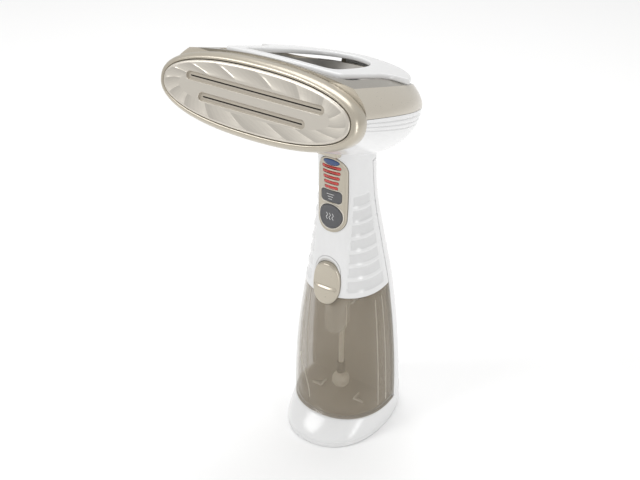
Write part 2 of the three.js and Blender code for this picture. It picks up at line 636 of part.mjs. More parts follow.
// ---- base ---------------------------------------------------------------------------
const RIM = 6; // height where the flange starts to rise
const FOOT = { x: 19, y: 31, radius: 6, deep: 1.2 };
const PLATE_THICK = 2;
function baseLoft(low, high, inset, rows) {
  return loft(inset ? 24 : 36, rows, (c, s, reach, row) => {
    const z = low + (high - low) * row;
    const up = THREE.MathUtils.clamp((z - RIM) / (BASE_TOP - RIM), 0, 1) ** 1.25;
    const tuck = 1.6 * (1 - Math.min(1, z / 4)) ** 2;
    const mix = THREE.MathUtils.lerp;
    const halfX = mix(BASE_HALF_X, along(HALF_WIDTH, BASE_TOP), up) - tuck - inset;
    const front = mix(BASE_Y - BASE_HALF_Y, along(FRONT, BASE_TOP), up) + tuck + inset;
    const back = mix(BASE_Y + BASE_HALF_Y, along(BACK, BASE_TOP) + 1, up) - tuck - inset;
    const power = 2 / BASE_EXPONENT;
    return new THREE.Vector3(
      reach * halfX * signedPower(c, power),
      (front + back) / 2 - (reach * (back - front) * signedPower(s, power)) / 2,
      z,
    );
  });
}
const GLAND = { z: 10, radius: 5.6, bore: 3.4 };
const glandHole = prismY(disc(GLAND.radius + GAP, 0, GLAND.z), 40, 80, 6);
const baseShell = cut(
  baseLoft(0, BASE_TOP, 0, 6),
  baseLoft(-1, BASE_TOP - WALL, WALL, 3),
  glandHole,
);
add(steamer, "base_shell", baseShell, WHITE);

const footHole = (x, y) => prismZ(disc(FOOT.radius + GAP, x, y), -1, FOOT.deep + GAP, 5);
const CORNERS = [[-1, -1], [1, -1], [-1, 1], [1, 1]];
const feet = CORNERS.map(([sx, sy]) => [sx * FOOT.x, sy * FOOT.y + BASE_Y]);
const SCREW = { x: 26, y: 11, head: 3, shank: 1.5 };
const screws = CORNERS.map(([sx, sy]) => [sx * SCREW.x, sy * SCREW.y + BASE_Y]);
const plateOutline = superellipse(
  BASE_HALF_X - WALL - 2.6, BASE_HALF_Y - WALL - 2.6, BASE_EXPONENT, 0, BASE_Y, 32,
);
let basePlate = prismZ(plateOutline, 0, PLATE_THICK);
for (const [x, y] of feet) basePlate = basePlate.subtract(footHole(x, y));
for (const [x, y] of screws) {
  basePlate = cut(
    basePlate,
    prismZ(disc(SCREW.head + GAP, x, y), -1, 1, 4),
    prismZ(disc(SCREW.shank + GAP, x, y), -1, 5, 4),
  );
}
add(steamer, "base_plate", basePlate, WHITE);
feet.forEach(([x, y], i) => {
  add(steamer, `rubber_foot_${i + 1}`, prismZ(disc(FOOT.radius, x, y), 0, FOOT.deep, 5), RUBBER);
});
screws.forEach(([x, y], i) => {
  const screw = join(
    prismZ(disc(SCREW.head, x, y), 0.1, 0.7, 4),
    prismZ(disc(SCREW.shank, x, y), 0.5, 9, 4),
  );
  add(steamer, `base_screw_${i + 1}`, screw, STEEL);
});

const glandBack = BASE_Y + BASE_HALF_Y + 1;
const gland = cut(
  prismY(disc(GLAND.radius, 0, GLAND.z), glandBack - 12, glandBack - 1, 6),
  prismY(disc(GLAND.bore, 0, GLAND.z), 0, BIG, 5),
);
add(steamer, "cord_gland", gland, BLACK);
add(steamer, "terminal_block", box(-12, 12, 24, 36, 4, 13), BLACK);

// ---- pump and water line --------------------------------------------------------------
const PUMP = { y: 29, low: 52, high: 88, halfX: 12, halfY: 9 };
const pumpPlan = roundedRect(-PUMP.halfX, PUMP.halfX, PUMP.y - PUMP.halfY, PUMP.y + PUMP.halfY, 3);
const pumpBody = join(
  prismZ(pumpPlan, PUMP.low, PUMP.high - 14, 3),
  prismZ(disc(7, 0, PUMP.y), PUMP.high - 15, PUMP.high, 6),
  prismZ(disc(2.2, 0, PUMP.y), PUMP.high - 1, PUMP.high + 8, 4),
);
add(steamer, "pump", pumpBody, LIGHT_GREY);
const coil = cut(
  prismZ(disc(9.4, 0, PUMP.y), PUMP.low - 20, PUMP.low - GAP, 7),
  prismZ(disc(3, 0, PUMP.y), PUMP.low - 21, PUMP.low - 6, 5),
);
add(steamer, "pump_coil", coil, BRASS);

const inletTube = tube([
  [0, nippleY + 9.3, NIPPLE.z], [0, nippleY + 13, NIPPLE.z], [2, PUMP.y + 2, NIPPLE.z - 3],
  [0, PUMP.y, PUMP.high + 12], [0, PUMP.y, PUMP.high + 8.4],
], 3, 3, 12);
add(steamer, "pump_inlet_tube", inletTube, SILICONE);

const chamberInlet = new THREE.Vector3(-30, CHAMBER.back + 0.4, PLATE.z).applyMatrix4(head.matrixWorld);
const chamberAway = new THREE.Vector3(-30, CHAMBER.back + 14, PLATE.z).applyMatrix4(head.matrixWorld);
const outletTube = tube([
  [10, PUMP.y - 12, PUMP.high - 22], [10, PUMP.y - 13, 110], [9, 14, 140], [7, 4, 190], [3, 0, 235],
  [-10, -16, 268],
  chamberAway.toArray(), chamberInlet.toArray(),
], 2.6, 2, 26);
add(steamer, "chamber_feed_tube", outletTube, SILICONE);

export default steamer;
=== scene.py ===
"""A handheld garment steamer: its looks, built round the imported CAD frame. Lengths below are in
millimetres in the part's own frame (+Z up, the plate faces -Y) and become metres when a mesh is made."""
import json
import math

import bmesh
import bpy
import numpy as np
from mathutils import Matrix, Vector


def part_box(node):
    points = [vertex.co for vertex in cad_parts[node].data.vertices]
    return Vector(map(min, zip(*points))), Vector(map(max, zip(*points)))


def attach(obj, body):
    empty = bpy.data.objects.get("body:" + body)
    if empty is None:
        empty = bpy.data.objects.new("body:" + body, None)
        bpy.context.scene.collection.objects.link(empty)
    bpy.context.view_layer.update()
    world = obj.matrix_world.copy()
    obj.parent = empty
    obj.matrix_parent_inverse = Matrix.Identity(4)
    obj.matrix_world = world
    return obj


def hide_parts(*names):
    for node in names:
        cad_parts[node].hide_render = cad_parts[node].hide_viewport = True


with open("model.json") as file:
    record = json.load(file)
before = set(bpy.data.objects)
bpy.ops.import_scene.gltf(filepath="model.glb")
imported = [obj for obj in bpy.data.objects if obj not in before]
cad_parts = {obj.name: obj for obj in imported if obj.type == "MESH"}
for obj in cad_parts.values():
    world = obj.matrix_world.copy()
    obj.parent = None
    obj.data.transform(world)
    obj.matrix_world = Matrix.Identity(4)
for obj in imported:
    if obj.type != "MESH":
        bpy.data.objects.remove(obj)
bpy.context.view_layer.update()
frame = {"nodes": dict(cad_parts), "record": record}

MM = 0.001
GAP = 0.3
WALL = 2.2

# ---- driving dimensions, as in the CAD ----
COLUMN_EXPONENT = 2.2
HALF_WIDTH = [(0, 39.6), (40, 39.6), (85, 36.9), (130, 31.3)]  # height and value, as in the two below
HALF_WIDTH += [(165, 25.8), (203, 20.6), (235, 19.6), (300, 19.6)]
FRONT = [(0, -38.5), (40, -39.6), (85, -37.6), (130, -31.6)]
FRONT += [(165, -27.8), (203, -24.9), (235, -25.5), (300, -26.5)]
BACK = [(0, 49.5), (40, 46.4), (85, 42.4), (130, 35.8)]
BACK += [(165, 27.7), (203, 19.6), (235, 16.6), (300, 15.5)]
TANK_FLOOR, TANK_TOP, TANK_WALL = 20.0, 129.7, 2.0
SEAM = 130.0  # lower edge of the grip
SPLIT = [(0, 12.5), (SEAM, 9.5), (255, -4.0)]  # height and Y of the seam to the rear cover
REAR_TOP = 233.0
SEAM_GAP = 0.7  # a shadow line wide enough to see
BASE_HALF_X, BASE_HALF_Y, BASE_EXPONENT, BASE_TOP, RIM = 39.6, 53.6, 2.25, 19.6, 6.0

HEAD_TILT = math.radians(17.5)
HEAD_ORIGIN = (0, -113, 312)
HEAD = Matrix.Translation(HEAD_ORIGIN) @ Matrix.Rotation(-HEAD_TILT, 4, "X")
PLATE_X, PLATE_Z, PLATE_MID, PLATE_EXPONENT = 67.0, 19.0, 1.9, 2.3
PLATE_FRONT, PLATE_BACK = -3.0, 4.5
BEZEL_BACK = 9.0
SHELL_X, SHELL_START, SHELL_BACK, SHELL_SEAM = 70.5, 9.3, 138.0, 6.6
SHELL_RISE, UPPER_WALL = 20.5, WALL + 2.4
SHELL_DROP = [(9.3, 28), (50, 36), (100, 44), (138, 45)]
SLOTS = [(7.3, 47.0), (-3.5, 36.0)]  # height and half length of each steam slot
SLOT_RADIUS = 2.5
TRAY_X, TRAY_FRONT, TRAY_BACK, TRAY_RADIUS = 47.0, 12.6, 117.0, 16.0
HINGE_Y, HINGE_Z = 125.4, 22.4
HINGE_BARREL, HINGE_PIN, HINGE_HALF, HINGE_POST = 3.0, 1.5, 12.0, 3.2
LOOP_Z, LOOP_THICK, LOOP_CROWN = 24.6, 3.4, 3.4

PANEL_X, PANEL_LOW, PANEL_HIGH = 11.8, 181.8, 240.6
STEAM_Z, STEAM_RADIUS = 194.3, 9.2
SETTING_Z, SETTING_X, SETTING_HALF = 210.0, 8.3, 4.6
LED_COUNT, LED_LOW, LED_PITCH, LED_HEIGHT = 5, 217.0, 4.0, 2.1
LED_NARROW, LED_WIDE = 10.4, 15.0
LENS_X, LENS_Z = 6.3, 2.2
RELEASE_Z, RELEASE_X, RELEASE_HALF, RELEASE_EXPONENT = 139.5, 11.3, 16.5, 2.4
RELEASE_DEEP = -14.0
THUMB, THUMB_RADIUS, THUMB_DEEP = (0, -36.0, 150.0), 14.5, 0.72
FILLER_X, FILLER_Y, FILLER_RADIUS = 14.0, -12.0, 7.5
TUBE_Y = -6.5
ELBOW_Y, ELBOW_LOW, ELBOW_HIGH, ELBOW_X, ELBOW_HALF = -13.5, 88.0, 117.0, 8.0, 12.5
NIPPLE_Z = 108.0
FILTER_Z, FILTER_RADIUS = 33.0, 7.2
GLAND_Z, GLAND_RADIUS = 10.0, 5.6

# ---- camera, light and floor ----
CAMERA_PLACE = (326.2, -547.1, 550.7)
CAMERA_AZIMUTH, CAMERA_PITCH = 33.62, 31.94
CAMERA_LENS, CAMERA_SHIFT = 56.24, (0.0211, 0.0121)
WORLD_STRENGTH = 0.64
FLOOR_REACH = 4000


def make_camera():
    data = bpy.data.cameras.new("camera")
    data.lens = CAMERA_LENS
    data.sensor_width = 36
    data.shift_x, data.shift_y = CAMERA_SHIFT
    data.clip_start, data.clip_end = 0.01, 20
    camera = bpy.data.objects.new("camera", data)
    camera.location = Vector(CAMERA_PLACE) * MM
    camera.rotation_euler = (math.radians(90 - CAMERA_PITCH), 0, math.radians(CAMERA_AZIMUTH))
    bpy.context.scene.collection.objects.link(camera)
    bpy.context.scene.camera = camera


def make_light(name, place, target, size, power):
    data = bpy.data.lights.new(name, "AREA")
    data.shape = "RECTANGLE"
    data.size, data.size_y = size
    data.energy = power
    light = bpy.data.objects.new(name, data)
    light.location = place
    light.rotation_euler = (Vector(target) - Vector(place)).to_track_quat("-Z", "Y").to_euler()
    bpy.context.scene.collection.objects.link(light)


def make_studio():
    world = bpy.data.worlds.new("studio")
    world.use_nodes = True
    background = world.node_tree.nodes["Background"]
    background.inputs["Color"].default_value = (0.985, 0.985, 0.98, 1)
    background.inputs["Strength"].default_value = WORLD_STRENGTH
    bpy.context.scene.world = world
    bpy.context.scene.view_settings.view_transform = "Standard"
    middle = (0, 0, 0.2)
    make_light("key", (-1.0, -1.3, 1.6), middle, (0.8, 0.8), 14)
    make_light("side", (1.5, -0.5, 0.35), middle, (0.35, 1.1), 6.5)
    make_light("top", (-0.2, 0.5, 1.9), middle, (1.5, 1.1), 17)


# ---- materials ----
class Surface:
    """A principled material whose colour, roughness and relief come from procedural nodes."""

    def __init__(self, name, colour, **sockets):
        self.material = bpy.data.materials.new(name)
        self.material.use_nodes = True
        self.tree = self.material.node_tree
        self.shader = self.tree.nodes["Principled BSDF"]
        self.colour = colour
        self.shader.inputs["Base Color"].default_value = (*colour, 1)
        for socket, value in sockets.items():
            self.shader.inputs[socket.replace("_", " ")].default_value = value
        self.place = self.node("ShaderNodeTexCoord").outputs["Object"]

    def node(self, kind, **inputs):
        made = self.tree.nodes.new(kind)
        for socket, value in inputs.items():
            made.inputs[socket].default_value = value
        return made

    def link(self, output, target):
        self.tree.links.new(output, target)

    def noise(self, scale, detail=3.0, stretch=None):
        made = self.node("ShaderNodeTexNoise", Scale=scale, Detail=detail)
        source = self.place
        if stretch:
            mapping = self.node("ShaderNodeMapping", Scale=stretch)
            self.link(source, mapping.inputs["Vector"])
            source = mapping.outputs["Vector"]
        self.link(source, made.inputs["Vector"])
        return made.outputs["Fac"]

    def spread(self, factor, low, high):
        made = self.node("ShaderNodeMapRange")
        made.inputs["To Min"].default_value = low
        made.inputs["To Max"].default_value = high
        self.link(factor, made.inputs["Value"])
        return made.outputs["Result"]

    def roughness(self, factor, low, high):
        self.link(self.spread(factor, low, high), self.shader.inputs["Roughness"])

    def tint(self, factor, amount):
        """Varies the colour by a few per cent, darker to lighter."""
        mix = self.node("ShaderNodeMix")
        mix.data_type = "RGBA"
        for socket, value in (("A", 1 - amount), ("B", 1 + amount)):
            found = [s for s in mix.inputs if s.name == socket and s.type == "RGBA"][0]
            found.default_value = (*[min(1, c * value) for c in self.colour], 1)
        self.link(factor, mix.inputs["Factor"])
        output = [s for s in mix.outputs if s.type == "RGBA"][0]
        self.link(output, self.shader.inputs["Base Color"])

    def relief(self, factor, distance, strength=1.0):
        bump = self.node("ShaderNodeBump", Strength=strength, Distance=distance * MM)
        self.link(factor, bump.inputs["Height"])
        self.link(bump.outputs["Normal"], self.shader.inputs["Normal"])


def gloss_plastic(name, colour, rough=(0.14, 0.22), grain=0.006, **sockets):
    surface = Surface(name, colour, IOR=1.5, **sockets)
    surface.roughness(surface.noise(180), *rough)
    surface.tint(surface.noise(35), 0.012)
    surface.relief(surface.noise(900, 2), grain)
    return surface.material


def satin_plastic(name, colour, rough=(0.42, 0.56), grain=0.03, **sockets):
    surface = Surface(name, colour, **sockets)
    surface.roughness(surface.noise(400), *rough)
    surface.tint(surface.noise(120), 0.05)
    surface.relief(surface.noise(2600, 4), grain)
    return surface.material


def pearl_paint(name, colour):
    """A champagne coat with fine metallic flake under a clear layer."""
    surface = Surface(name, colour, Metallic=0.55, Coat_Weight=0.35, Coat_Roughness=0.12)
    surface.roughness(surface.noise(700), 0.24, 0.36)
    surface.tint(surface.noise(5200, 1), 0.09)
    surface.relief(surface.noise(4200, 1), 0.006)
    return surface.material


def brushed_metal(name, colour, rough=(0.22, 0.38), stretch=(1, 30, 30), metallic=0.8):
    surface = Surface(name, colour, Metallic=metallic)
    lines = surface.noise(160, 3, stretch)
    surface.roughness(lines, *rough)
    surface.tint(lines, 0.04)
    surface.relief(lines, 0.004)
    return surface.material


def thin_plastic(name, colour, cover):
    """A tinted wall that light passes straight through: cover is the share that it keeps back."""
    surface = Surface(name, colour, IOR=1.5, Alpha=cover, Coat_Weight=0.5, Coat_Roughness=0.03)
    surface.roughness(surface.noise(60), 0.05, 0.1)
    surface.tint(surface.noise(25), 0.03)
    surface.relief(surface.noise(70, 1), 0.012)
    return surface.material


def soft_rubber(name, colour):
    surface = Surface(name, colour, Subsurface_Weight=0.08, Sheen_Weight=0.1)
    surface.roughness(surface.noise(300), 0.55, 0.8)
    surface.tint(surface.noise(90), 0.05)
    surface.relief(surface.noise(1800, 3), 0.04)
    return surface.material


def glowing_lens(name, colour, glow):
    surface = Surface(name, colour, Coat_Weight=0.6, Emission_Strength=glow)
    surface.shader.inputs["Emission Color"].default_value = (*colour, 1)
    surface.roughness(surface.noise(200), 0.16, 0.26)
    surface.tint(surface.noise(800), 0.08)
    return surface.material


PLATE_COLOUR, PLATE_ROUGH = (0.64, 0.60, 0.535), (0.32, 0.42)
MATERIALS = {
    "white_shell": gloss_plastic("white_shell", (0.745, 0.745, 0.745)),
    "champagne": pearl_paint("champagne", (0.49, 0.445, 0.365)),
    "plate_metal": brushed_metal("plate_metal", PLATE_COLOUR, PLATE_ROUGH, metallic=0.7),
    "grey_button": satin_plastic("grey_button", (0.095, 0.095, 0.10)),
    "light_grey": satin_plastic("light_grey", (0.72, 0.72, 0.715), (0.25, 0.35), 0.008),
    "black_plastic": satin_plastic("black_plastic", (0.03, 0.03, 0.031)),
    "smoke_tank": thin_plastic("smoke_tank", (0.35, 0.295, 0.215), 0.35),
    "clear_plastic": thin_plastic("clear_plastic", (0.86, 0.83, 0.76), 0.36),
    "red_lens": glowing_lens("red_lens", (0.50, 0.035, 0.025), 0.06),
    "blue_lens": glowing_lens("blue_lens", (0.02, 0.06, 0.19), 0.02),
    "rubber": soft_rubber("rubber", (0.03, 0.03, 0.032)),
    "silicone": soft_rubber("silicone", (0.70, 0.64, 0.55)),
    "aluminium": brushed_metal("aluminium", (0.62, 0.63, 0.64), (0.35, 0.5), (8, 8, 8), 1.0),
    "steel": brushed_metal("steel", (0.55, 0.56, 0.58), (0.18, 0.3), (30, 1, 30), 1.0),
    "brass": brushed_metal("brass", (0.66, 0.42, 0.2), (0.25, 0.4), (4, 4, 60), 1.0),
    "board": satin_plastic("board", (0.03, 0.16, 0.06)),
}
SLOT_METAL = brushed_metal("slot_metal", (0.50, 0.455, 0.385), (0.4, 0.5), (1, 20, 20), 0.5)
# Painted shade and light on the upper head shell: a darker copy of the champagne paint for the band above
# the crease, a lighter copy for the side below it.
CREST_PAINTED_SHADE = pearl_paint("crest_painted_shade", (0.27, 0.245, 0.20))
FLANK_PAINTED_LIGHT = pearl_paint("flank", (0.60, 0.55, 0.465))
# Painted highlight: a bright solid colour for the moulded ribs and lines in the clear plastic, standing in
# for the glint along their edges.
MOULD_LINE_PAINTED_HIGHLIGHT = satin_plastic("mould_line_painted_highlight", (0.82, 0.79, 0.72))
DECK = satin_plastic("deck", (0.62, 0.60, 0.57), (0.25, 0.35), 0.008)
# Painted shade: a greyer copy of the white plastic for the floors of the sunk grip bands.
BAND_PAINTED_SHADE = gloss_plastic("band_painted_shade", (0.66, 0.66, 0.66))
# Painted shade: near black for the deep walls of the steam slits.
SLIT_PAINTED_SHADE = satin_plastic("slit_painted_shade", (0.045, 0.042, 0.038))
ICON_WHITE = satin_plastic("icon_white", (0.72, 0.72, 0.72))


# ---- formulas ----
def signed_power(value, power):
    return math.copysign(abs(value) ** power, value)


def clamp(value, low=0.0, high=1.0):
    return max(low, min(high, value))


def smooth_step(value):
    t = clamp(value)
    return t * t * (3 - 2 * t)


def along(table, height):
    """Smooth value of a driving table at a height."""
    last = len(table) - 1
    k = 0
    while k < last - 1 and height > table[k + 1][0]:
        k += 1

    def slope(i):
        low, high = table[max(0, i - 1)], table[min(last, i + 1)]
        return (high[1] - low[1]) / (high[0] - low[0])

    (z0, v0), (z1, v1) = table[k], table[k + 1]
    span = z1 - z0
    t = clamp((height - z0) / span)
    rise = v0 + (v1 - v0) * t * t * (3 - 2 * t)
    return rise + span * t * (1 - t) * (slope(k) * (1 - t) - slope(k + 1) * t)


def split_y(height):
    k = 1 if height > SEAM else 0
    (z0, v0), (z1, v1) = SPLIT[k], SPLIT[k + 1]
    return v0 + (v1 - v0) * (height - z0) / (z1 - z0)


def superellipse(half_x, half_y, exponent, centre=(0, 0), count=96):
    power = 2 / exponent
    points = []
    for i in range(count):
        angle = 2 * math.pi * i / count
        x = centre[0] + half_x * signed_power(math.cos(angle), power)
        points.append((x, centre[1] + half_y * signed_power(math.sin(angle), power)))
    return points


def circle(radius, centre=(0, 0), count=96):
    return superellipse(radius, radius, 2, centre, count)


def rounded_rect(x0, x1, y0, y1, radius, per_corner=10):
    points = []
    left, right, low, high = x0 + radius, x1 - radius, y0 + radius, y1 - radius
    corners = [(right, high), (left, high), (left, low), (right, low)]
    for quarter, (cx, cy) in enumerate(corners):
        for i in range(per_corner + 1):
            angle = (quarter + i / per_corner) * math.pi / 2
            points.append((cx + radius * math.cos(angle), cy + radius * math.sin(angle)))
    return points


def column_ring(z, inset=0.0, count=160, relief=None):
    """One section of the column; relief(x, y, z) gives how far the surface is sunk there."""
    half = along(HALF_WIDTH, z) - inset
    front, back = along(FRONT, z) + inset, along(BACK, z) - inset
    middle, deep = (front + back) / 2, (back - front) / 2
    power = 2 / COLUMN_EXPONENT
    ring = []
    for i in range(count):
        angle = 2 * math.pi * i / count
        c, s = signed_power(math.cos(angle), power), signed_power(math.sin(angle), power)
        x, y = half * c, middle - deep * s
        sink = relief(x, y, z) if relief else 0
        ring.append(((half - sink) * c, middle - (deep - sink) * s, z))
    return ring


def front_y(x, z, lift=0.0):
    """Y of the column's front at (x, z), lifted outward."""
    half = along(HALF_WIDTH, z) + lift
    front, back = along(FRONT, z) - lift, along(BACK, z) + lift
    share = clamp(abs(x) / half, 0, 0.999)
    return (front + back) / 2 - (back - front) / 2 * (1 - share**COLUMN_EXPONENT) ** (1 / COLUMN_EXPONENT)


def on_front(points, lift):
    """Points of X and Z laid on the column's front."""
    return [(x, front_y(x, z, lift), z) for x, z in points]


def level(outline, z):
    return [(x, y, z) for x, y in outline]


def upright(outline, y):
    return [(x, y, z) for x, z in outline]


# ---- meshes ----
def mesh_piece(name, points, faces, material, matrix=None, sharp=32):
    """A smooth-shaded object from points in millimetres, with its faces turned outward."""
    mesh = bpy.data.meshes.new(name)
    mesh.from_pydata([tuple(Vector(p) * MM) for p in points], [], faces)
    if matrix:
        mesh.transform(Matrix.Scale(MM, 4) @ matrix @ Matrix.Scale(1 / MM, 4))
    bm = bmesh.new()
    bm.from_mesh(mesh)
    bmesh.ops.remove_doubles(bm, verts=bm.verts, dist=1e-7)
    bmesh.ops.dissolve_degenerate(bm, edges=bm.edges, dist=1e-8)
    bmesh.ops.recalc_face_normals(bm, faces=bm.faces)
    bm.to_mesh(mesh)
    bm.free()
    if material:
        mesh.materials.append(material)
    piece = bpy.data.objects.new(name, mesh)
    bpy.context.scene.collection.objects.link(piece)
    shade(piece, sharp)
    return piece


def shade(piece, sharp=32):
    piece.data.shade_smooth()
    piece.data.set_sharp_from_angle(angle=math.radians(sharp))


def stack(name, rings, material, closed=False, matrix=None, sharp=32):
    """A skin through rings with the same number of points; the ends are capped unless the rings close."""
    count = len(rings[0])
    points = [p for ring in rings for p in ring]
    faces = []
    steps = len(rings) if closed else len(rings) - 1
    for j in range(steps):
        a, b = j * count, ((j + 1) % len(rings)) * count
        faces += [(a + i, a + (i + 1) % count, b + (i + 1) % count, b + i) for i in range(count)]
    if not closed:
        for start in (0, (len(rings) - 1) * count):
            points.append(tuple(np.mean(points[start:start + count], axis=0)))
            centre = len(points) - 1
            faces += [(start + i, start + (i + 1) % count, centre) for i in range(count)]
    return mesh_piece(name, points, faces, material, matrix, sharp)


def prism(outline, axis, low, high, matrix=None, material=None, name="cutter"):
    """An outline pushed through X, Y or Z."""
    place = {
        "X": lambda p, t: (t, p[0], p[1]),
        "Y": lambda p, t: (p[0], t, p[1]),
        "Z": lambda p, t: (p[0], p[1], t),
    }[axis]
    return stack(name, [[place(p, t) for p in outline] for t in (low, high)], material, matrix=matrix)


def block(x, y, z, matrix=None):
    return prism([(x[0], y[0]), (x[1], y[0]), (x[1], y[1]), (x[0], y[1])], "Z", *z, matrix=matrix)


def ball(radius, centre, material=None, name="cutter", rows=24, around=48, deep=1.0):
    """A ball, flattened along Y when deep is under 1."""
    rings = []
    for j in range(rows + 1):
        angle = math.pi * clamp(j / rows, 0.002, 0.998)
        reach = radius * math.sin(angle)
        height = centre[2] + radius * math.cos(angle)
        rings.append([
            (centre[0] + reach * math.cos(t), centre[1] + deep * reach * math.sin(t), height)
            for t in np.linspace(0, 2 * math.pi, around, endpoint=False)
        ])
    return stack(name, rings, material)


def turned(name, profile, material, matrix=None, around=48, sharp=32):
    """A piece turned on a lathe about Z: profile of radius and height."""
    rings = [
        [(r * math.cos(t), r * math.sin(t), z) for t in np.linspace(0, 2 * math.pi, around, endpoint=False)]
        for r, z in profile
    ]
    return stack(name, rings, material, matrix=matrix, sharp=sharp)


def sweep(name, path, radius, material, sides=12, matrix=None):
    """A round bar along a list of points."""
    points = [Vector(p) for p in path]
    rings = []
    side = None
    for i, p in enumerate(points):
        ahead = (points[min(i + 1, len(points) - 1)] - points[max(i - 1, 0)]).normalized()
        if side is None:
            side = ahead.orthogonal().normalized()
        side = (side - ahead * side.dot(ahead)).normalized()
        up = ahead.cross(side)
        turns = [2 * math.pi * k / sides for k in range(sides)]
        rings.append([tuple(p + radius * (math.cos(t) * side + math.sin(t) * up)) for t in turns])
    return stack(name, rings, material, matrix=matrix)


def combine(piece, others, operation="DIFFERENCE", sharp=32):
    """Cuts, joins or overlaps a piece with others, which are then removed."""
    for other in others:
        modifier = piece.modifiers.new(operation, "BOOLEAN")
        modifier.operation = operation
        modifier.object = other
        modifier.solver = "EXACT"
    graph = bpy.context.evaluated_depsgraph_get()
    mesh = bpy.data.meshes.new_from_object(piece.evaluated_get(graph))
    piece.modifiers.clear()
    piece.data = mesh
    for other in others:
        bpy.data.objects.remove(other)
    shade(piece, sharp)


def soften(piece, width, segments=2, angle=35):
    """Rounds the sharp edges of a piece."""
    modifier = piece.modifiers.new("round", "BEVEL")
    modifier.width = width * MM
    modifier.segments = segments
    modifier.limit_method = "ANGLE"
    modifier.angle_limit = math.radians(angle)
    modifier.harden_normals = True


def paint(piece, material, test):
    """Gives a second material to the faces whose centre, in millimetres, passes a test."""
    piece.data.materials.append(material)
    index = len(piece.data.materials) - 1
    for face in piece.data.polygons:
        if test(face.center / MM, face.normal):
            face.material_index = index


def settle(piece, body, slot, *nodes):
    """The piece rides on a body and stands for CAD nodes, which it hides. slot is not used."""
    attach(piece, body)
    if nodes:
        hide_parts(*nodes)


# ---- head ----
HEAD_ROWS = 56
SHOULDER = (0.84, 0.74)  # the crease along the upper shell, as shares of half width and rise
RIBS = (0.085, 0.165, 0.245)  # grooves under the seam, as shares of the drop
RIB_DEPTH, RIB_HALF = 0.55, 0.011


def bezier(points, t):
    points = [np.array(p, float) for p in points]
    while len(points) > 1:
        points = [a + (b - a) * t for a, b in zip(points, points[1:])]
    return points[0]


def upper_profile():
    side = [bezier([(1, 0), (0.99, 0.30), (0.91, 0.55), SHOULDER], t) for t in np.linspace(0, 1, 14)]
    top = [bezier([SHOULDER, (0.62, 0.86), (0.35, 1.0), (0, 1.0)], t) for t in np.linspace(0, 1, 16)]
    half = side + top[1:]
    return half + [(-x, z) for x, z in reversed(half[:-1])]


def lower_profile(exponent=2.3):
    fine = list(np.arange(0, 0.3, 0.006))
    rest = [0.3 + 0.7 * math.sin(t) for t in np.linspace(0, math.pi / 2, 26)]
    half = [((1 - v**exponent) ** (1 / exponent), v) for v in fine + rest]
    return half + [(-x, v) for x, v in reversed(half[:-1])]


def head_rings(profile, low, inset=0.0, start=SHELL_START, ribs=False):
    """Sections of the head across its depth, from the bezel to the round tail."""
    reach = SHELL_BACK - inset - SHELL_START
    rings = []
    for j in range(HEAD_ROWS + 1):
        turn = math.pi / 2 * min(0.9985, j / HEAD_ROWS)
        u, w = math.sin(turn) ** (2 / 3), math.cos(turn) ** (2 / 3)
        d = SHELL_START + reach * u if j else start
        half = (SHELL_X - inset) * w
        if low:
            rise = -(along(SHELL_DROP, d) - inset) * (1 - u**3.4) ** (1 / 3.4)
        else:
            rise = (SHELL_RISE - inset) * w
        ring = []
        for x, v in profile:
            sink = 0
            if ribs:
                sink = RIB_DEPTH * w * sum(math.exp(-((v - r) / RIB_HALF) ** 2) for r in RIBS)
            ring.append(((half - sink) * x, d, SHELL_SEAM + rise * v))
        rings.append(ring)
    return rings


def head_upper():
    shell = stack("fine_upper_shell", head_rings(upper_profile(), False), MATERIALS["champagne"])
    for vertex in shell.data.vertices:
        if vertex.co.z < (SHELL_SEAM + GAP / 2) * MM:
            vertex.co.z = (SHELL_SEAM + GAP / 2) * MM
    hollow = stack("cutter", head_rings(upper_profile(), False, UPPER_WALL, SHELL_START - 4), None)
    hollow.data.transform(Matrix.Translation((0, 0, -0.4 * MM)))
    plan = rounded_rect(-TRAY_X, TRAY_X, TRAY_FRONT, TRAY_BACK, TRAY_RADIUS, 12)
    pocket = prism(plan, "Z", 0, 60)
    room = block((-HINGE_HALF - GAP, HINGE_HALF + GAP), (HINGE_Y - 4.2, 160), (HINGE_Z - 3.8, 60))
    combine(shell, [hollow, pocket, room], sharp=22)
    posts = []
    for side in (-1, 1):
        near, far = side * (HINGE_HALF + GAP), side * (HINGE_HALF + GAP + HINGE_POST)
        low, high = min(near, far), max(near, far)
        disc = circle(HINGE_BARREL - 0.2, (HINGE_Y, HINGE_Z), 32)
        foot = [(HINGE_Y - 2.8, 16.5), (HINGE_Y + 2.8, 16.5)]
        outline = [p for p in disc if p[1] >= HINGE_Z - 0.01] + foot
        posts.append(prism(outline, "X", low, high))
    combine(shell, posts, "UNION", 22)
    bore = prism(circle(HINGE_PIN + GAP, (HINGE_Y, HINGE_Z), 24), "X", -40, 40)
    combine(shell, [bore], sharp=22)

    def above_crease(centre, _):
        turn = math.asin(clamp((centre.y - SHELL_START) / (SHELL_BACK - SHELL_START)) ** 1.5)
        return centre.z > SHELL_SEAM + SHELL_RISE * SHOULDER[1] * math.cos(turn) ** (2 / 3) + 0.05

    # Painted shade on the faces above the crease and painted light on those below it, standing in for the
    # shading of the curved shell.
    paint(shell, CREST_PAINTED_SHADE, above_crease)
    paint(shell, FLANK_PAINTED_LIGHT, lambda centre, normal: not above_crease(centre, normal))
    shell.data.transform(scaled(HEAD))
    soften(shell, 0.35, 2, 40)
    settle(shell, "body", "champagne", "head_upper_shell")


def scaled(matrix):
    """A placing matrix in millimetres turned into one for metres."""
    made = matrix.copy()
    made.translation = made.translation * MM
    return made


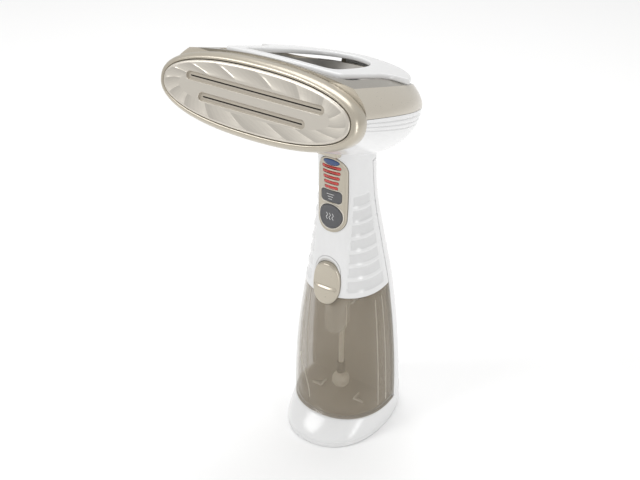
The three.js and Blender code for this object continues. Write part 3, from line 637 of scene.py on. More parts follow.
def bezel_ring():
    """A rounded ring, from a profile of growth past the plate's outline and depth."""
    profile = [(0.3, 6.5), (0.3, -1.0), (0.45, -1.5), (0.8, -1.85), (1.4, -1.95), (2.3, -1.6)]
    profile += [(3.1, -1.0), (3.8, -0.2), (4.4, 0.8), (4.8, 2.0), (5.0, 3.4), (5.0, 8.3), (4.8, 8.9)]
    profile += [(4.3, BEZEL_BACK), (-3.4, BEZEL_BACK), (-4.0, 8.6), (-4.0, 5.4), (0.1, 5.4), (0.4, 5.8)]
    rings = []
    for grow, y in profile:
        outline = superellipse(PLATE_X + grow, PLATE_Z + grow, PLATE_EXPONENT, (0, PLATE_MID), 200)
        rings.append(upright(outline, y))
    ring = stack("fine_bezel", rings, MATERIALS["champagne"], closed=True, matrix=HEAD, sharp=50)
    settle(ring, "body", "champagne", "bezel_ring")


FACETS = 16  # shallow fan facets round the plate
FACET_RISE, FACET_SLANT = 0.3, -0.17
FACET_WIDTH, FACET_SQUEEZE = 10.5, 0.72  # their reach inward, and the share of it taken in height
RIM_WIDTH = 2.1
# Painted shading on the fan facets: copies of the plate metal from darker to lighter, standing in for the
# light and shade of the tilted facets.
FACET_SHADE_COUNT, FACET_SHADE_LOW, FACET_SHADE_STEP = 6, 0.86, 0.055


def plate_facet_shade(k):
    colour = tuple(c * (FACET_SHADE_LOW + FACET_SHADE_STEP * k) for c in PLATE_COLOUR)
    return brushed_metal(f"plate_facet_shade_{k}", colour, PLATE_ROUGH, metallic=0.7)


PLATE_FACET_SHADES = [plate_facet_shade(k) for k in range(FACET_SHADE_COUNT)]


def facet_share(x, z):
    """How far along its fan facet a point of the plate lies, 0 to 1, or None off the facets."""
    low, high = -12.6, -1.9
    n = PLATE_EXPONENT
    for _ in range(24):
        grow = (low + high) / 2
        reach = PLATE_Z + FACET_SQUEEZE * grow
        outside = abs(x / (PLATE_X + grow)) ** n + abs((z - PLATE_MID) / reach) ** n > 1
        low, high = (grow, high) if outside else (low, grow)
    share = (-RIM_WIDTH - grow) / FACET_WIDTH
    if not 0.001 < share < 0.999:
        return None
    c = signed_power(x / (PLATE_X + grow), n / 2)
    s = signed_power((z - PLATE_MID) / (PLATE_Z + FACET_SQUEEZE * grow), n / 2)
    return ((math.atan2(s, c) / (2 * math.pi) - FACET_SLANT * share / FACETS * 3) * FACETS) % 1


def steam_plate():
    """The plate: bright bevelled rim, fan facets, then a flat middle with two sunk slots."""
    count = FACETS * 16
    rings = []
    power = 2 / PLATE_EXPONENT

    def ring(grow, depth, share=None):
        row = []
        for i in range(count):
            u = i / count
            slant = 0 if share is None else FACET_SLANT * share / FACETS * 3
            angle = 2 * math.pi * (u + slant)
            x = (PLATE_X + grow) * signed_power(math.cos(angle), power)
            squeeze = 1 if share is None else FACET_SQUEEZE
            z = PLATE_MID + (PLATE_Z + grow * squeeze) * signed_power(math.sin(angle), power)
            wave = 0 if share is None else FACET_RISE * ((u * FACETS) % 1) * math.sin(math.pi * share)
            row.append((x, PLATE_FRONT + depth + wave, z))
        rings.append(row)

    ring(-2.0, PLATE_BACK - PLATE_FRONT)
    ring(-0.3, PLATE_BACK - PLATE_FRONT)
    ring(0, PLATE_BACK - PLATE_FRONT - 0.4)
    for grow, depth in ((0, 1.5), (-0.1, 1.0), (-0.35, 0.6), (-0.75, 0.28), (-1.3, 0.1), (-1.9, 0.0)):
        ring(grow, depth)
    for k in range(13):
        ring(-RIM_WIDTH - FACET_WIDTH * k / 12, 0.02, k / 12)
    for grow in (-13.2, -14.2):
        ring(grow, 0.02, 1.0)
    plate = stack("fine_steam_plate", rings, MATERIALS["plate_metal"], sharp=12)
    cutters = []
    for height, half in SLOTS:
        rows = []
        for lift, grow in ((-2, 0.45), (-0.02, 0.45), (0.4, 0.05), (1.5, 0), (1.7, -0.3)):
            y = PLATE_FRONT + lift
            r = SLOT_RADIUS + grow
            outline = rounded_rect(-half - r, half + r, height - r, height + r, r - 0.01, 14)
            rows.append(upright(outline, y))
        cutters.append(stack("cutter", rows, None))
        slit = rounded_rect(-half, half, height - 0.4, height + 0.4, 0.39, 6)
        cutters.append(prism(slit, "Y", -6, 8))
    combine(plate, cutters, sharp=12)

    def sunk(centre, _):
        inside = any(abs(centre.z - z) < 2.9 and abs(centre.x) < half + 3.0 for z, half in SLOTS)
        return inside and PLATE_FRONT + 0.35 < centre.y < PLATE_FRONT + 2.2

    # Each facet's faces take a darker to lighter copy by their place across the facet: painted shade and
    # light.
    first = len(plate.data.materials)
    for tint in PLATE_FACET_SHADES:
        plate.data.materials.append(tint)
    for face in plate.data.polygons:
        place = face.center / MM
        share = facet_share(place.x, place.z)
        if share is not None and place.y < PLATE_FRONT + 0.6:
            face.material_index = first + min(FACET_SHADE_COUNT - 1, int(share * FACET_SHADE_COUNT))
    paint(plate, SLOT_METAL, sunk)
    # Painted shade: the slit walls deep behind the plate face are painted near black for the darkness
    # inside the slits.
    paint(plate, SLIT_PAINTED_SHADE, lambda c, n: c.y > PLATE_FRONT + 2.2 and abs(c.x) < 55 and abs(n.y) < 0.7)
    plate.data.transform(scaled(HEAD))
    settle(plate, "body", "plate_metal", "steam_plate")


def loop_outline(grow, count=240):
    """Half of the loop's plan by curves, then its mirror image."""
    right = [
        [(0, 15.6 - grow), (34 + grow, 15.6 - grow), (42 + grow, 24)],
        [(42 + grow, 24), (43 + grow, 47), (44 + grow, 70)],
        [(44 + grow, 70), (46 + grow, 80), (57 + grow, 83 - grow)],
        [(57 + grow, 83 - grow), (52 + grow, 104 + grow), (30, 124 + grow), (0, 127 + grow)],
    ]
    return even(right, count)


def opening_outline(grow, count=240):
    right = [
        [(0, 25 - grow), (16, 25 - grow), (26, 27 - grow)],
        [(26, 27 - grow), (33 + grow, 29 - grow), (32 + grow, 40)],
        [(32 + grow, 40), (30 + grow, 80), (24 + grow, 108 + grow), (0, 112 + grow)],
    ]
    return even(right, count)


def even(curves, count):
    """Points spread evenly by angle from the middle, along curves and their mirror image."""
    points = []
    for curve in curves:
        points += [tuple(bezier(curve, t)) for t in np.linspace(0, 1, 60, endpoint=False)]
    points.append(tuple(curves[-1][-1]))
    points += [(-x, y) for x, y in reversed(points[1:-1])]
    middle = np.array([0.0, 62.0])
    vectors = np.array(points) - middle
    angles = np.unwrap(np.arctan2(vectors[:, 1], vectors[:, 0]))
    targets = np.linspace(angles[0], angles[0] + 2 * math.pi, count, endpoint=False)
    angles = np.append(angles, angles[0] + 2 * math.pi)
    closed = np.vstack([points, points[:1]])
    across, back = (np.interp(targets, angles, closed[:, k]) for k in (0, 1))
    return [(float(x), float(y)) for x, y in zip(across, back)]


def crown_fall(x):
    return LOOP_CROWN * min(1.0, abs(x) / 58) ** 2


def hang_loop():
    """The flip-up loop: a flat crowned ring with round edges, and its hinge barrel."""
    outer = np.array(loop_outline(0))
    inner = np.array(opening_outline(0))
    width = np.linalg.norm(inner - outer, axis=1, keepdims=True)
    inward = (inner - outer) / width
    radius = 1.5

    def ring(place, height):
        return [(x, y, LOOP_Z + height - crown_fall(x)) for x, y in place]

    rings = []
    bends = [math.radians(a) for a in (0, 18, 36, 54, 72, 90)]
    for turn in bends:
        height = 0.02 + radius * (1 - math.cos(turn)) * 0.6
        rings.append(ring(outer + inward * radius * (1 - math.sin(turn)), height))
    for turn in bends:
        height = LOOP_THICK - radius + radius * math.sin(turn)
        rings.append(ring(outer + inward * radius * (1 - math.cos(turn)), height))
    for share in (0.25, 0.4, 0.55, 0.7):
        rings.append(ring(outer + inward * (radius + (width - 2 * radius) * share), LOOP_THICK))
    for turn in reversed(bends):
        height = LOOP_THICK - radius + radius * math.sin(turn)
        rings.append(ring(inner - inward * radius * (1 - math.cos(turn)), height))
    for turn in reversed(bends):
        height = 0.02 + radius * (1 - math.cos(turn)) * 0.6
        rings.append(ring(inner - inward * radius * (1 - math.sin(turn)), height))
    for share in (0.7, 0.4):
        rings.append(ring(outer + inward * (radius + (width - 2 * radius) * share), 0))
    loop = stack("fine_hang_loop", rings, MATERIALS["white_shell"], closed=True)
    far = HINGE_HALF + HINGE_POST + 2 * GAP
    sides = ((-far, -HINGE_HALF), (HINGE_HALF, far))
    notches = [block(side, (HINGE_Y - 4, 140), (10, 40)) for side in sides]
    combine(loop, notches)
    disc = circle(HINGE_BARREL, (HINGE_Y, HINGE_Z), 40)
    barrel = prism(disc, "X", -HINGE_HALF, HINGE_HALF)
    web = block((-HINGE_HALF, HINGE_HALF), (HINGE_Y - 2.4, HINGE_Y + 1.5), (HINGE_Z, LOOP_Z + 1))
    combine(loop, [barrel, web], "UNION")
    bore = prism(circle(HINGE_PIN + GAP, (HINGE_Y, HINGE_Z), 24), "X", -40, 40)
    combine(loop, [bore], sharp=40)
    loop.data.transform(scaled(HEAD))
    settle(loop, "loop", "white_shell", "hang_loop")


# ---- body ----
BAND_LOW, BAND_PITCH, BAND_COUNT, BAND_DEPTH = 144.6, 11.2, 6, 0.6


def band_relief(x, y, z):
    """Sunk bands on the flanks of the grip, with fine notches next to the rear seam."""
    if not BAND_LOW - 10.5 < z < BAND_LOW + BAND_PITCH * BAND_COUNT:
        return 0
    phase = abs((z - BAND_LOW) / BAND_PITCH - round((z - BAND_LOW) / BAND_PITCH)) * BAND_PITCH
    across = smooth_step((phase - 0.9) / 1.1)
    back = split_y(z)
    edge = back - 5.5 - (SEAM + 95 - z) * 0.012
    front_edge = 13.5 + 0.02 * (SEAM + 85 - z)
    flank = smooth_step((abs(x) - front_edge) / 1.2) * smooth_step((edge - y) / 1.2)
    notch = smooth_step((y - edge) / 1.0) * (1 - smooth_step(abs(phase) / 0.7)) * 0.6
    return BAND_DEPTH * (flank * across + notch)


def column_solid(name, low, high, inset, step, material=None, count=160, relief=None):
    rows = max(2, int(round((high - low) / step)))
    rings = [column_ring(low + (high - low) * j / rows, inset, count, relief) for j in range(rows + 1)]
    return stack(name, rings, material)


def rear_region(shift, low, high):
    """Everything behind the seam to the rear cover."""
    outline = [(split_y(low) + shift, low), (150, low), (150, high), (split_y(high) + shift, high)]
    if low < SEAM < high:
        outline.append((split_y(SEAM) + shift, SEAM))
    return prism(outline, "X", -100, 100)


def panel_outline(grow):
    return rounded_rect(-PANEL_X - grow, PANEL_X + grow, PANEL_LOW - grow, PANEL_HIGH + grow, 11 + grow, 16)


def release_outline(grow):
    return superellipse(RELEASE_X + grow, RELEASE_HALF + grow, RELEASE_EXPONENT, (0, RELEASE_Z), 96)


def steam_outline(grow):
    return circle(STEAM_RADIUS + grow, (0, STEAM_Z), 72)


def setting_outline(grow):
    low, high = SETTING_Z - SETTING_HALF - grow, SETTING_Z + SETTING_HALF + grow
    return rounded_rect(-SETTING_X - grow, SETTING_X + grow, low, high, 2.6 + grow, 12)


def lens_outline(grow):
    return superellipse(LENS_X + grow, LENS_Z + grow, 2, (0, LED_LOW + LED_COUNT * LED_PITCH), 48)


def led_outline(index):
    z = LED_LOW + index * LED_PITCH
    half = (LED_NARROW + (LED_WIDE - LED_NARROW) * index / (LED_COUNT - 1)) / 2

    def outline(grow):
        low, high = z - LED_HEIGHT / 2 - grow, z + LED_HEIGHT / 2 + grow
        return rounded_rect(-half - grow, half + grow, low, high, 0.7 + grow, 6)

    return outline


def badge(name, outline, deep, top, material, edge=0.5, shape=None, rim=()):
    """A piece laid on the column's front: outline(grow) in X and Z, from a depth up to a lift, with a
    round edge. rim lists further (grow, lift) rows inside the edge, and shape(x, z) adds to the lift."""
    plan = np.array(outline(0))
    centre = (plan.max(0) + plan.min(0)) / 2
    rings = []

    def row(points, lift, shaped=False):
        made = []
        for x, z in points:
            extra = shape(x, z) if shape and shaped else 0
            made.append((x, front_y(x, z, lift + extra), z))
        rings.append(made)

    for share in (0.03, 0.35, 0.7):
        row(centre + (plan - centre) * share, deep)
    row(plan, deep)
    row(plan, (deep + top) / 2)
    for turn in np.linspace(0, math.pi / 2, 5):
        row(outline(-edge * (1 - math.cos(turn))), top - edge + edge * math.sin(turn))
    for grow, lift in rim:
        row(outline(grow), lift)
    last = rim[-1][0] if rim else -edge
    inner = np.array(outline(last))
    for share in (0.94, 0.86, 0.76, 0.64, 0.5, 0.36, 0.22, 0.1, 0.03):
        row(centre + (inner - centre) * share, rim[-1][1] if rim else top, True)
    return stack(name, rings, material, sharp=50)


def body_shell():
    """Head underside and grip in one moulding."""
    lower = stack("fine_body_shell", head_rings(lower_profile(), True, ribs=True), MATERIALS["white_shell"])
    for vertex in lower.data.vertices:
        if vertex.co.z > (SHELL_SEAM - GAP / 2) * MM:
            vertex.co.z = (SHELL_SEAM - GAP / 2) * MM
    lower.data.transform(scaled(HEAD))
    grip = column_solid("cutter", SEAM, 284, 0, 1.1, None, 200, band_relief)
    over = block((-150, 150), (-60, 200), (SHELL_SEAM - GAP / 2, 150), HEAD)
    combine(grip, [over])
    combine(lower, [grip], "UNION")
    inner_rings = head_rings(lower_profile(), True, WALL, SHELL_START - 4)
    for ring in inner_rings:
        for i in (0, len(ring) - 1):
            x, y, z = ring[i]
            ring[i] = (x, y, z + 5)
    hollow = stack("cutter", inner_rings, None, matrix=HEAD)
    hollow_grip = column_solid("cutter", SEAM + 2, 290, WALL, 8, None, 64)
    seat = badge("cutter", lambda g: panel_outline(g + GAP), -1.6, 6, None, 0.1)
    opening = prism(panel_outline(-1.5), "Y", -60, -5)
    well = prism(release_outline(GAP), "Y", -60, RELEASE_DEEP)
    thumb = ball(THUMB_RADIUS + 1.6, THUMB, deep=THUMB_DEEP)
    catch = block((-9.8, 9.8), (-33.3, -26.2), (243.7, 249.3))
    rear = rear_region(-SEAM_GAP, -1, REAR_TOP + SEAM_GAP)
    combine(lower, [hollow, hollow_grip, rear, seat, opening, well, thumb, catch])
    # Painted shade: the floors of the sunk bands take the greyer copy of the white plastic.
    paint(lower, BAND_PAINTED_SHADE, lambda c, n: c.z < 232 and band_relief(*c) > 0.6 * BAND_DEPTH)
    settle(lower, "body", "white_shell", "body_shell")

    bowl = ball(THUMB_RADIUS + 1.3, THUMB, MATERIALS["light_grey"], "thumb_recess", deep=THUMB_DEEP)
    combine(bowl, [column_solid("cutter", SEAM + 0.5, 175, 0.15, 3, None, 120)], "INTERSECT")
    inside = ball(THUMB_RADIUS, THUMB, deep=THUMB_DEEP)
    combine(bowl, [inside, prism(release_outline(GAP), "Y", -60, RELEASE_DEEP)])
    settle(bowl, "body", "light_grey")


def rear_cover():
    white = MATERIALS["white_shell"]
    cover = column_solid("fine_rear_cover", BASE_TOP + 0.5, REAR_TOP + 1, 0, 4, white, 180)
    combine(cover, [rear_region(0, -1, REAR_TOP)], "INTERSECT")
    combine(cover, [column_solid("cutter", BASE_TOP - 1, REAR_TOP + 3, WALL, 9, None, 64)])
    soften(cover, 0.5, 3, 40)
    settle(cover, "body", "white_shell", "rear_cover")


def attachment_catch():
    low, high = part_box("attachment_catch")
    low, high = low / MM, high / MM
    rows = []
    under = [(low.z, -0.8, 1.2), (low.z + 0.5, -0.2, 0.6), (low.z + 1.2, 0, 0)]
    for z, grow, push in under + [(high.z - 1, 0, -0.5), (high.z, -0.4, -0.4)]:
        outline = rounded_rect(low.x - grow, high.x + grow, low.y + push, high.y, 2.0, 8)
        rows.append(level(outline, z))
    catch = stack("fine_attachment_catch", rows, MATERIALS["champagne"])
    settle(catch, "body", "champagne", "attachment_catch")


def controls():
    """The panel with its buttons, the five lit bars and the small lens."""
    rim = ((-1.1, 0.7), (-1.3, 0.52), (-1.55, 0.52), (-1.75, 0.7))
    panel = badge("fine_control_panel", panel_outline, -1.3, 0.7, MATERIALS["champagne"], 0.35, rim=rim)
    holes = [steam_outline, setting_outline, lens_outline] + [led_outline(i) for i in range(LED_COUNT)]
    combine(panel, [prism(hole(GAP), "Y", -60, 0) for hole in holes], sharp=50)
    settle(panel, "body", "champagne", "control_panel")

    def dish(x, z):
        return -0.35 * math.exp(-(x * x + (z - STEAM_Z) ** 2) / 30)

    groove = ((-1.2, 1.8), (-1.5, 1.6), (-1.9, 1.6))
    grey = MATERIALS["grey_button"]
    steam = badge("fine_steam_button", steam_outline, -3, 1.8, grey, 0.6, dish, groove)
    settle(steam, "steam_key", "grey_button", "steam_button")
    setting = badge("fine_setting_button", setting_outline, -3, 1.5, grey, 0.6)
    settle(setting, "setting_key", "grey_button", "setting_button")
    for name, outline in (("steam_rim", steam_outline), ("setting_rim", setting_outline)):
        rows = [(0.35, 0.62), (0.35, 1.0), (0.55, 1.12), (0.95, 1.12), (1.15, 1.0), (1.15, 0.62)]
        rings = [on_front(outline(grow), lift) for grow, lift in rows]
        settle(stack(name, rings, MATERIALS["plate_metal"], closed=True, sharp=60), "body", "plate_metal")
    lens = badge("fine_ready_lens", lens_outline, -1.2, 0.9, MATERIALS["blue_lens"], 0.3, lambda x, z: 0.15)
    settle(lens, "body", "blue_lens", "ready_lens")
    for i in range(LED_COUNT):
        bar = badge(f"fine_led_bar_{i + 1}", led_outline(i), -1.2, 0.9, MATERIALS["red_lens"], 0.3)
        settle(bar, "body", "red_lens", f"led_bar_{i + 1}")
    icons()


def icons():
    """Generic marks: three rising wisps on the steam key, three level strokes on the setting key."""
    for k in (-1, 0, 1):
        path = []
        for t in np.linspace(-1, 1, 25):
            x, z = k * 2.4 + 0.5 * math.sin(t * math.pi * 1.5), STEAM_Z + 2.6 * t
            path.append((x, front_y(x, z, 1.42), z))
        settle(sweep(f"steam_mark_{k + 2}", path, 0.22, ICON_WHITE, 8), "steam_key", "light_grey")
        z = SETTING_Z + k * 1.9
        half = 2.2 + 0.8 * k
        path = on_front([(x, z) for x in np.linspace(-half, half, 15)], 1.5)
        settle(sweep(f"setting_mark_{k + 2}", path, 0.22, ICON_WHITE, 8), "setting_key", "light_grey")


def release_button():
    """The tank's push button: a dished thumb pad above a bright ridge."""
    ridge = RELEASE_Z - 4.2

    def shape(x, z):
        across = smooth_step((RELEASE_X - 0.6 - abs(x)) / 1.6)
        pad = -0.7 * math.exp(-((z - RELEASE_Z - 5) / 8) ** 2 - (x / 8) ** 2)
        bar = 0.4 * math.exp(-((z - ridge) / 0.9) ** 2) - 0.8 * math.exp(-((z - ridge - 2.0) / 0.7) ** 2)
        return pad + bar * across

    plan = np.array(release_outline(0))
    centre = np.array([0, RELEASE_Z])
    rings = []
    for share, skirt in ((0.03, 0.4), (0.4, 0.4), (0.8, 0.4), (0.95, 3.5), (1.0, 3.5)):
        row = []
        for x, z in centre + (plan - centre) * share:
            row.append((x, front_y(x, z, -2.6 - skirt * smooth_step((z - SEAM - 6) / 6)), z))
        rings.append(row)
    for turn in np.linspace(0, math.pi / 2, 7):
        points = release_outline(-1.3 * (1 - math.cos(turn)))
        rings.append(on_front(points, 0.7 + 1.3 * math.sin(turn)))
    inner = np.array(release_outline(-1.3))
    for share in np.linspace(0.97, 0.03, 44):
        points = centre + (inner - centre) * share
        rings.append([(x, front_y(x, z, 2.0 + shape(x, z)), z) for x, z in points])
    button = stack("fine_release_button", rings, MATERIALS["champagne"], sharp=60)
    settle(button, "release_key", "champagne", "release_button")


# ---- tank ----
def soft_min(value, limit, soft):
    """The value, bent over softly so that it stays under a limit."""
    if value <= limit - 12 * soft:
        return value
    return -soft * math.log(math.exp(-(value - limit) / soft) + 1) + limit


def tank_ring(z, inset, count=168, corner=0.9):
    """A section of the tank: the column's front with a flat back and round corners."""
    back = split_y(z) - GAP - inset
    return [(x, soft_min(y, back, corner), z) for x, y, _ in column_ring(z, inset, count)]


def tank_rings(low, high, inset, radius):
    """Sections of the tank: a small groove above the foot, the wall, and a round top edge."""
    rings = []
    for turn in np.linspace(math.pi / 2, 0, 6):
        sunk = inset + radius * (1 - math.cos(math.pi / 2 - turn))
        rings.append(tank_ring(low + radius * (1 - math.sin(turn)), sunk))
    for z in np.linspace(low + radius, high - radius, 40)[1:-1]:
        rings.append(tank_ring(z, inset))
    for turn in np.linspace(0, math.pi / 2, 6):
        rings.append(tank_ring(high - radius * (1 - math.sin(turn)), inset + radius * (1 - math.cos(turn))))
    return rings


def water_tank():
    rounding = 1.4
    tank = stack("fine_tank", tank_rings(TANK_FLOOR, TANK_TOP, 0, rounding), MATERIALS["smoke_tank"])
    room = tank_rings(TANK_FLOOR + TANK_WALL, TANK_TOP - TANK_WALL, TANK_WALL, rounding)
    inner = stack("cutter", room, None)
    bulge = prism(release_outline(GAP + TANK_WALL), "Y", -60, along(FRONT, RELEASE_Z) + 8)
    combine(inner, [bulge])
    well = prism(release_outline(GAP), "Y", -60, along(FRONT, RELEASE_Z) + 5.5)
    hole = prism(circle(FILLER_RADIUS, (FILLER_X, FILLER_Y), 48), "Z", TANK_TOP - 5, 150)
    back = split_y(NIPPLE_Z)
    neck = prism(circle(4.3, (0, NIPPLE_Z), 32), "Y", back - 6, back + 5)
    combine(tank, [inner, well, hole, neck])
    settle(tank, "tank", "smoke_tank", "tank_shell")
    profile = [(0.1, 3.6), (6.4, 3.6), (7.1, 3.0), (7.1, 0.9), (6.6, 0.3), (5.4, 0.25), (5.0, 0.9)]
    profile += [(1.8, 0.9), (1.5, 0.35), (0.1, 0.25)]
    profile = [(radius, TANK_TOP - depth) for radius, depth in profile]
    at = Matrix.Translation((FILLER_X, FILLER_Y, 0))
    cap = turned("fine_filler_cap", profile, MATERIALS["silicone"], at, sharp=50)
    settle(cap, "tank", "silicone", "filler_cap")
    tank_marks()
    tank_lines()
    tank_inside()


def tank_marks():
    """A small L-shaped rib moulded on each side of the floor."""
    long, wide = 9, 1.1
    for side in (-1, 1):
        x, y, z = side * 15, -12.0, TANK_FLOOR + TANK_WALL
        corners = [(0, 0), (long, 0), (long, wide), (wide, wide), (wide, long), (0, long)]
        outline = [(x + side * a, y + b) for a, b in corners]
        # The rib's bright colour is a painted highlight.
        rib = prism(outline, "Z", z, z + 1.2, material=MOULD_LINE_PAINTED_HIGHLIGHT, name=f"tank_rib_{(side + 3) // 2}")
        soften(rib, 0.3)
        settle(rib, "tank", "clear_plastic")


def wall_point(turn, z):
    """A point just inside the tank's wall: turn is the angle round the column."""
    half = along(HALF_WIDTH, z) - TANK_WALL - 0.1
    front, back = along(FRONT, z) + TANK_WALL + 0.1, along(BACK, z) - TANK_WALL
    c = signed_power(math.cos(turn), 2 / COLUMN_EXPONENT)
    s = signed_power(math.sin(turn), 2 / COLUMN_EXPONENT)
    return (half * c, (front + back) / 2 - (back - front) / 2 * s, z)


def tank_lines():
    """Thin moulded lines inside the wall: two uprights on each flank and an arch at the left front."""
    for side in (0, 1):
        paths = [[(angle, z) for z in np.linspace(24, 122, 30)] for angle in (3, 16)]
        if side:
            turns = np.linspace(0, math.pi * 0.72, 24)
            paths.append([(180 - (104 + 26 * math.sin(t) ** 2), 30 + 34 * math.sin(t)) for t in turns])
        for k, path in enumerate(paths):
            points = [wall_point(math.radians(angle), z) for angle, z in path]
            points = [(-x if side else x, y, z) for x, y, z in points]
            # The line's bright colour is a painted highlight.
            line = sweep(f"tank_line_{3 * side + k + 1}", points, 0.3, MOULD_LINE_PAINTED_HIGHLIGHT, 8)
            settle(line, "tank", "clear_plastic")


def tank_inside():
    """Outlet elbow, suction tube, sleeve and the weighted filter seen through the wall."""
    clear = MATERIALS["clear_plastic"]
    rows = []
    rises = ((0, 4.6), (0.6, 3.0), (1.8, 1.5), (3.6, 0.4), (6, 0))
    foot = [(ELBOW_LOW + up, shrink) for up, shrink in rises]
    head = [(ELBOW_HIGH - down, shrink) for down, shrink in ((6, 0), (3, 0.5), (1, 1.6), (0, 3.4))]
    for z, shrink in foot + head:
        outline = superellipse(ELBOW_X - shrink, ELBOW_HALF - shrink, 2.5, (0, ELBOW_Y), 56)
        rows.append(level(outline, z))
    elbow = stack("fine_outlet_elbow", rows, clear)
    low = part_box("outlet_elbow")[1].y / MM
    spout = prism(circle(5, (0, NIPPLE_Z), 40), "Y", TUBE_Y, low)
    combine(elbow, [spout], "UNION")
    down = prism(circle(2.4, (0, TUBE_Y), 32), "Z", ELBOW_LOW - 2, NIPPLE_Z)
    across = prism(circle(2, (0, NIPPLE_Z), 32), "Y", TUBE_Y, low + 2)
    combine(elbow, [down, across])
    settle(elbow, "tank", "clear_plastic", "outlet_elbow")
    half, knee = ELBOW_X + 0.1, ELBOW_LOW + 6
    seam = [(-half, ELBOW_HIGH - 5), (-half, knee)]
    seam += [(-half * math.cos(t), knee - 6.1 * math.sin(t)) for t in np.linspace(0.1, math.pi - 0.1, 24)]
    seam += [(half, knee), (half, ELBOW_HIGH - 5)]
    # The seam's bright colour is a painted highlight.
    line = sweep("elbow_seam", [(x, ELBOW_Y, z) for x, z in seam], 0.4, MOULD_LINE_PAINTED_HIGHLIGHT, 8)
    settle(line, "tank", "clear_plastic")

    at = Matrix.Translation((0, TUBE_Y, 0))
    low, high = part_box("suction_tube")[0].z / MM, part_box("suction_tube")[1].z / MM
    profile = [(0.3, low), (2.0, low), (2.1, low + 0.3), (2.1, high - 0.3), (2.0, high), (0.3, high)]
    tube = turned("fine_suction_tube", profile, MATERIALS["silicone"], at, 32)
    settle(tube, "pickup", "silicone", "suction_tube")
    low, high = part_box("filter_sleeve")[0].z / MM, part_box("filter_sleeve")[1].z / MM
    profile = [(2.2, low + 4.2), (2.2, low), (3.1, low), (3.5, low + 0.5), (3.5, low + 3), (3.2, low + 3.4)]
    profile += [(3.2, low + 3.9), (3.5, low + 4.3), (3.5, high - 0.6), (3.1, high), (2.35, high)]
    profile.append((2.35, low + 4.2))
    sleeve = turned("fine_filter_sleeve", profile, MATERIALS["black_plastic"], at, 40)
    settle(sleeve, "pickup", "black_plastic", "filter_sleeve")
    profile = []
    for turn in np.linspace(-89, 89, 41):
        t = math.radians(turn)
        radius = FILTER_RADIUS * math.cos(t)
        groove = 0.35 * math.exp(-(turn / 5) ** 2) + 0.2 * math.exp(-((abs(turn) - 35) / 5) ** 2)
        profile.append((max(0.1, radius - groove), FILTER_Z + FILTER_RADIUS * math.sin(t)))
    weight = turned("fine_weighted_filter", profile, MATERIALS["silicone"], at)
    settle(weight, "pickup", "silicone", "weighted_filter")


# ---- base ----
def base_ring(z, inset, count=180):
    up = clamp((z - RIM) / (BASE_TOP - RIM)) ** 1.25
    half = BASE_HALF_X + (along(HALF_WIDTH, BASE_TOP) - BASE_HALF_X) * up - inset
    front = -BASE_HALF_Y + (along(FRONT, BASE_TOP) + BASE_HALF_Y) * up + inset
    back = BASE_HALF_Y + (along(BACK, BASE_TOP) + 1 - BASE_HALF_Y) * up - inset
    outline = superellipse(half, (back - front) / 2, BASE_EXPONENT, (0, (front + back) / 2), count)
    return level(outline, z)


def base_shell():
    rings = [base_ring(14, WALL + 1.0), base_ring(2.0, WALL), base_ring(0, WALL)]
    foot = [(0, 1.3), (0.15, 0.75), (0.5, 0.35), (1.1, 0.12), (1.9, 0.0)]
    groove = [(3.6, 0.0), (3.9, 0.22), (4.3, 0.22), (4.6, 0.0)]
    rings += [base_ring(z, inset) for z, inset in foot + groove]
    rings += [base_ring(z, 0) for z in np.linspace(5.2, BASE_TOP - 0.9, 22)]
    for turn in np.linspace(0.25, 1, 4) * math.pi / 2:
        rings.append(base_ring(BASE_TOP - 0.9 + 0.9 * math.sin(turn), 0.9 * (1 - math.cos(turn))))

    def shrunk(ring, share, z):
        return [(x * share, y * share, z) for x, y, _ in ring]

    rings += [shrunk(base_ring(BASE_TOP, 0.9), share, BASE_TOP) for share in (0.8, 0.4, 0.02)]
    under = [shrunk(base_ring(14, WALL + 3), share, BASE_TOP - WALL) for share in (0.02, 0.4, 0.8)]
    shell = stack("fine_base_shell", under + rings, MATERIALS["white_shell"], closed=True)
    combine(shell, [prism(circle(GLAND_RADIUS + GAP, (0, GLAND_Z), 40), "Y", 40, 80)])
    settle(shell, "body", "white_shell", "base_shell")


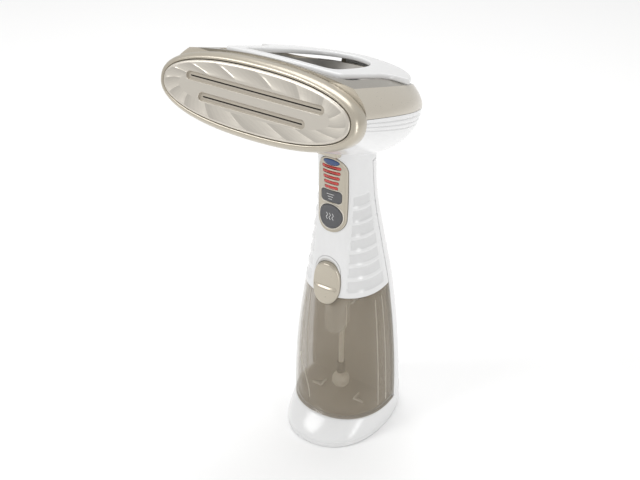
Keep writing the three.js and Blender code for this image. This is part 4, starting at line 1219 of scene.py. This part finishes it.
def cord_gland():
    """A ribbed sleeve where the lead would leave the base."""
    low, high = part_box("cord_gland")
    near, far = low.y / MM, high.y / MM
    turn = Matrix.Translation((0, 0, GLAND_Z)) @ Matrix.Rotation(-math.pi / 2, 4, "X")
    outer, groove, bore = GLAND_RADIUS, GLAND_RADIUS - 0.5, 3.4
    profile = [(bore, near), (outer, near)]
    y = near + 1.5
    while y < far - 2:
        profile += [(outer, y), (groove, y + 0.25), (groove, y + 0.85), (outer, y + 1.1)]
        y += 2.4
    profile += [(outer, far - 0.5), (5.2, far), (3.8, far), (bore, far - 0.4)]
    turns = np.linspace(0, 2 * math.pi, 48, endpoint=False)
    rings = [[(r * math.cos(t), r * math.sin(t), h) for t in turns] for r, h in profile]
    gland = stack("fine_cord_gland", rings, MATERIALS["black_plastic"], closed=True, matrix=turn)
    settle(gland, "body", "black_plastic", "cord_gland")


# ---- carried-over CAD pieces ----
ROUNDED = {  # width of the round edge on each plain node
    "top_tray": 0.5,
    "top_louvre": 0.3,
    "loop_catch": 0.6,
    "base_plate": 0.4,
    "tank_back_wall": 0.4,
    "terminal_block": 0.5,
    "pump": 0.6,
    "steam_switch": 0.3,
    "setting_switch": 0.3,
    "control_board": 0.2,
    "steam_chamber": 0.5,
    "tank_valve": 0.3,
}


def dress_nodes():
    """Every CAD node gets its slot's material, and the plain ones get round edges."""
    for part in frame["record"]["subparts"]:
        node = frame["nodes"][part["node"]]
        node.data.materials.clear()
        node.data.materials.append(MATERIALS[part["material_slot"]])
    frame["nodes"]["top_tray"].data.materials[0] = DECK
    for name, width in ROUNDED.items():
        soften(frame["nodes"][name], width, 2, 40)


def make_floor():
    surface = Surface("floor", (0.92, 0.92, 0.92))
    surface.roughness(surface.noise(6), 0.5, 0.6)
    surface.tint(surface.noise(3), 0.006)
    corners = [(-FLOOR_REACH, -FLOOR_REACH, 0), (FLOOR_REACH, -FLOOR_REACH, 0)]
    corners += [(FLOOR_REACH, FLOOR_REACH, 0), (-FLOOR_REACH, FLOOR_REACH, 0)]
    floor = mesh_piece("floor", corners, [(0, 1, 2, 3)], surface.material)


make_camera()
make_studio()
make_floor()
dress_nodes()
head_upper()
bezel_ring()
steam_plate()
hang_loop()
body_shell()
rear_cover()
attachment_catch()
controls()
release_button()
water_tank()
base_shell()
cord_gland()
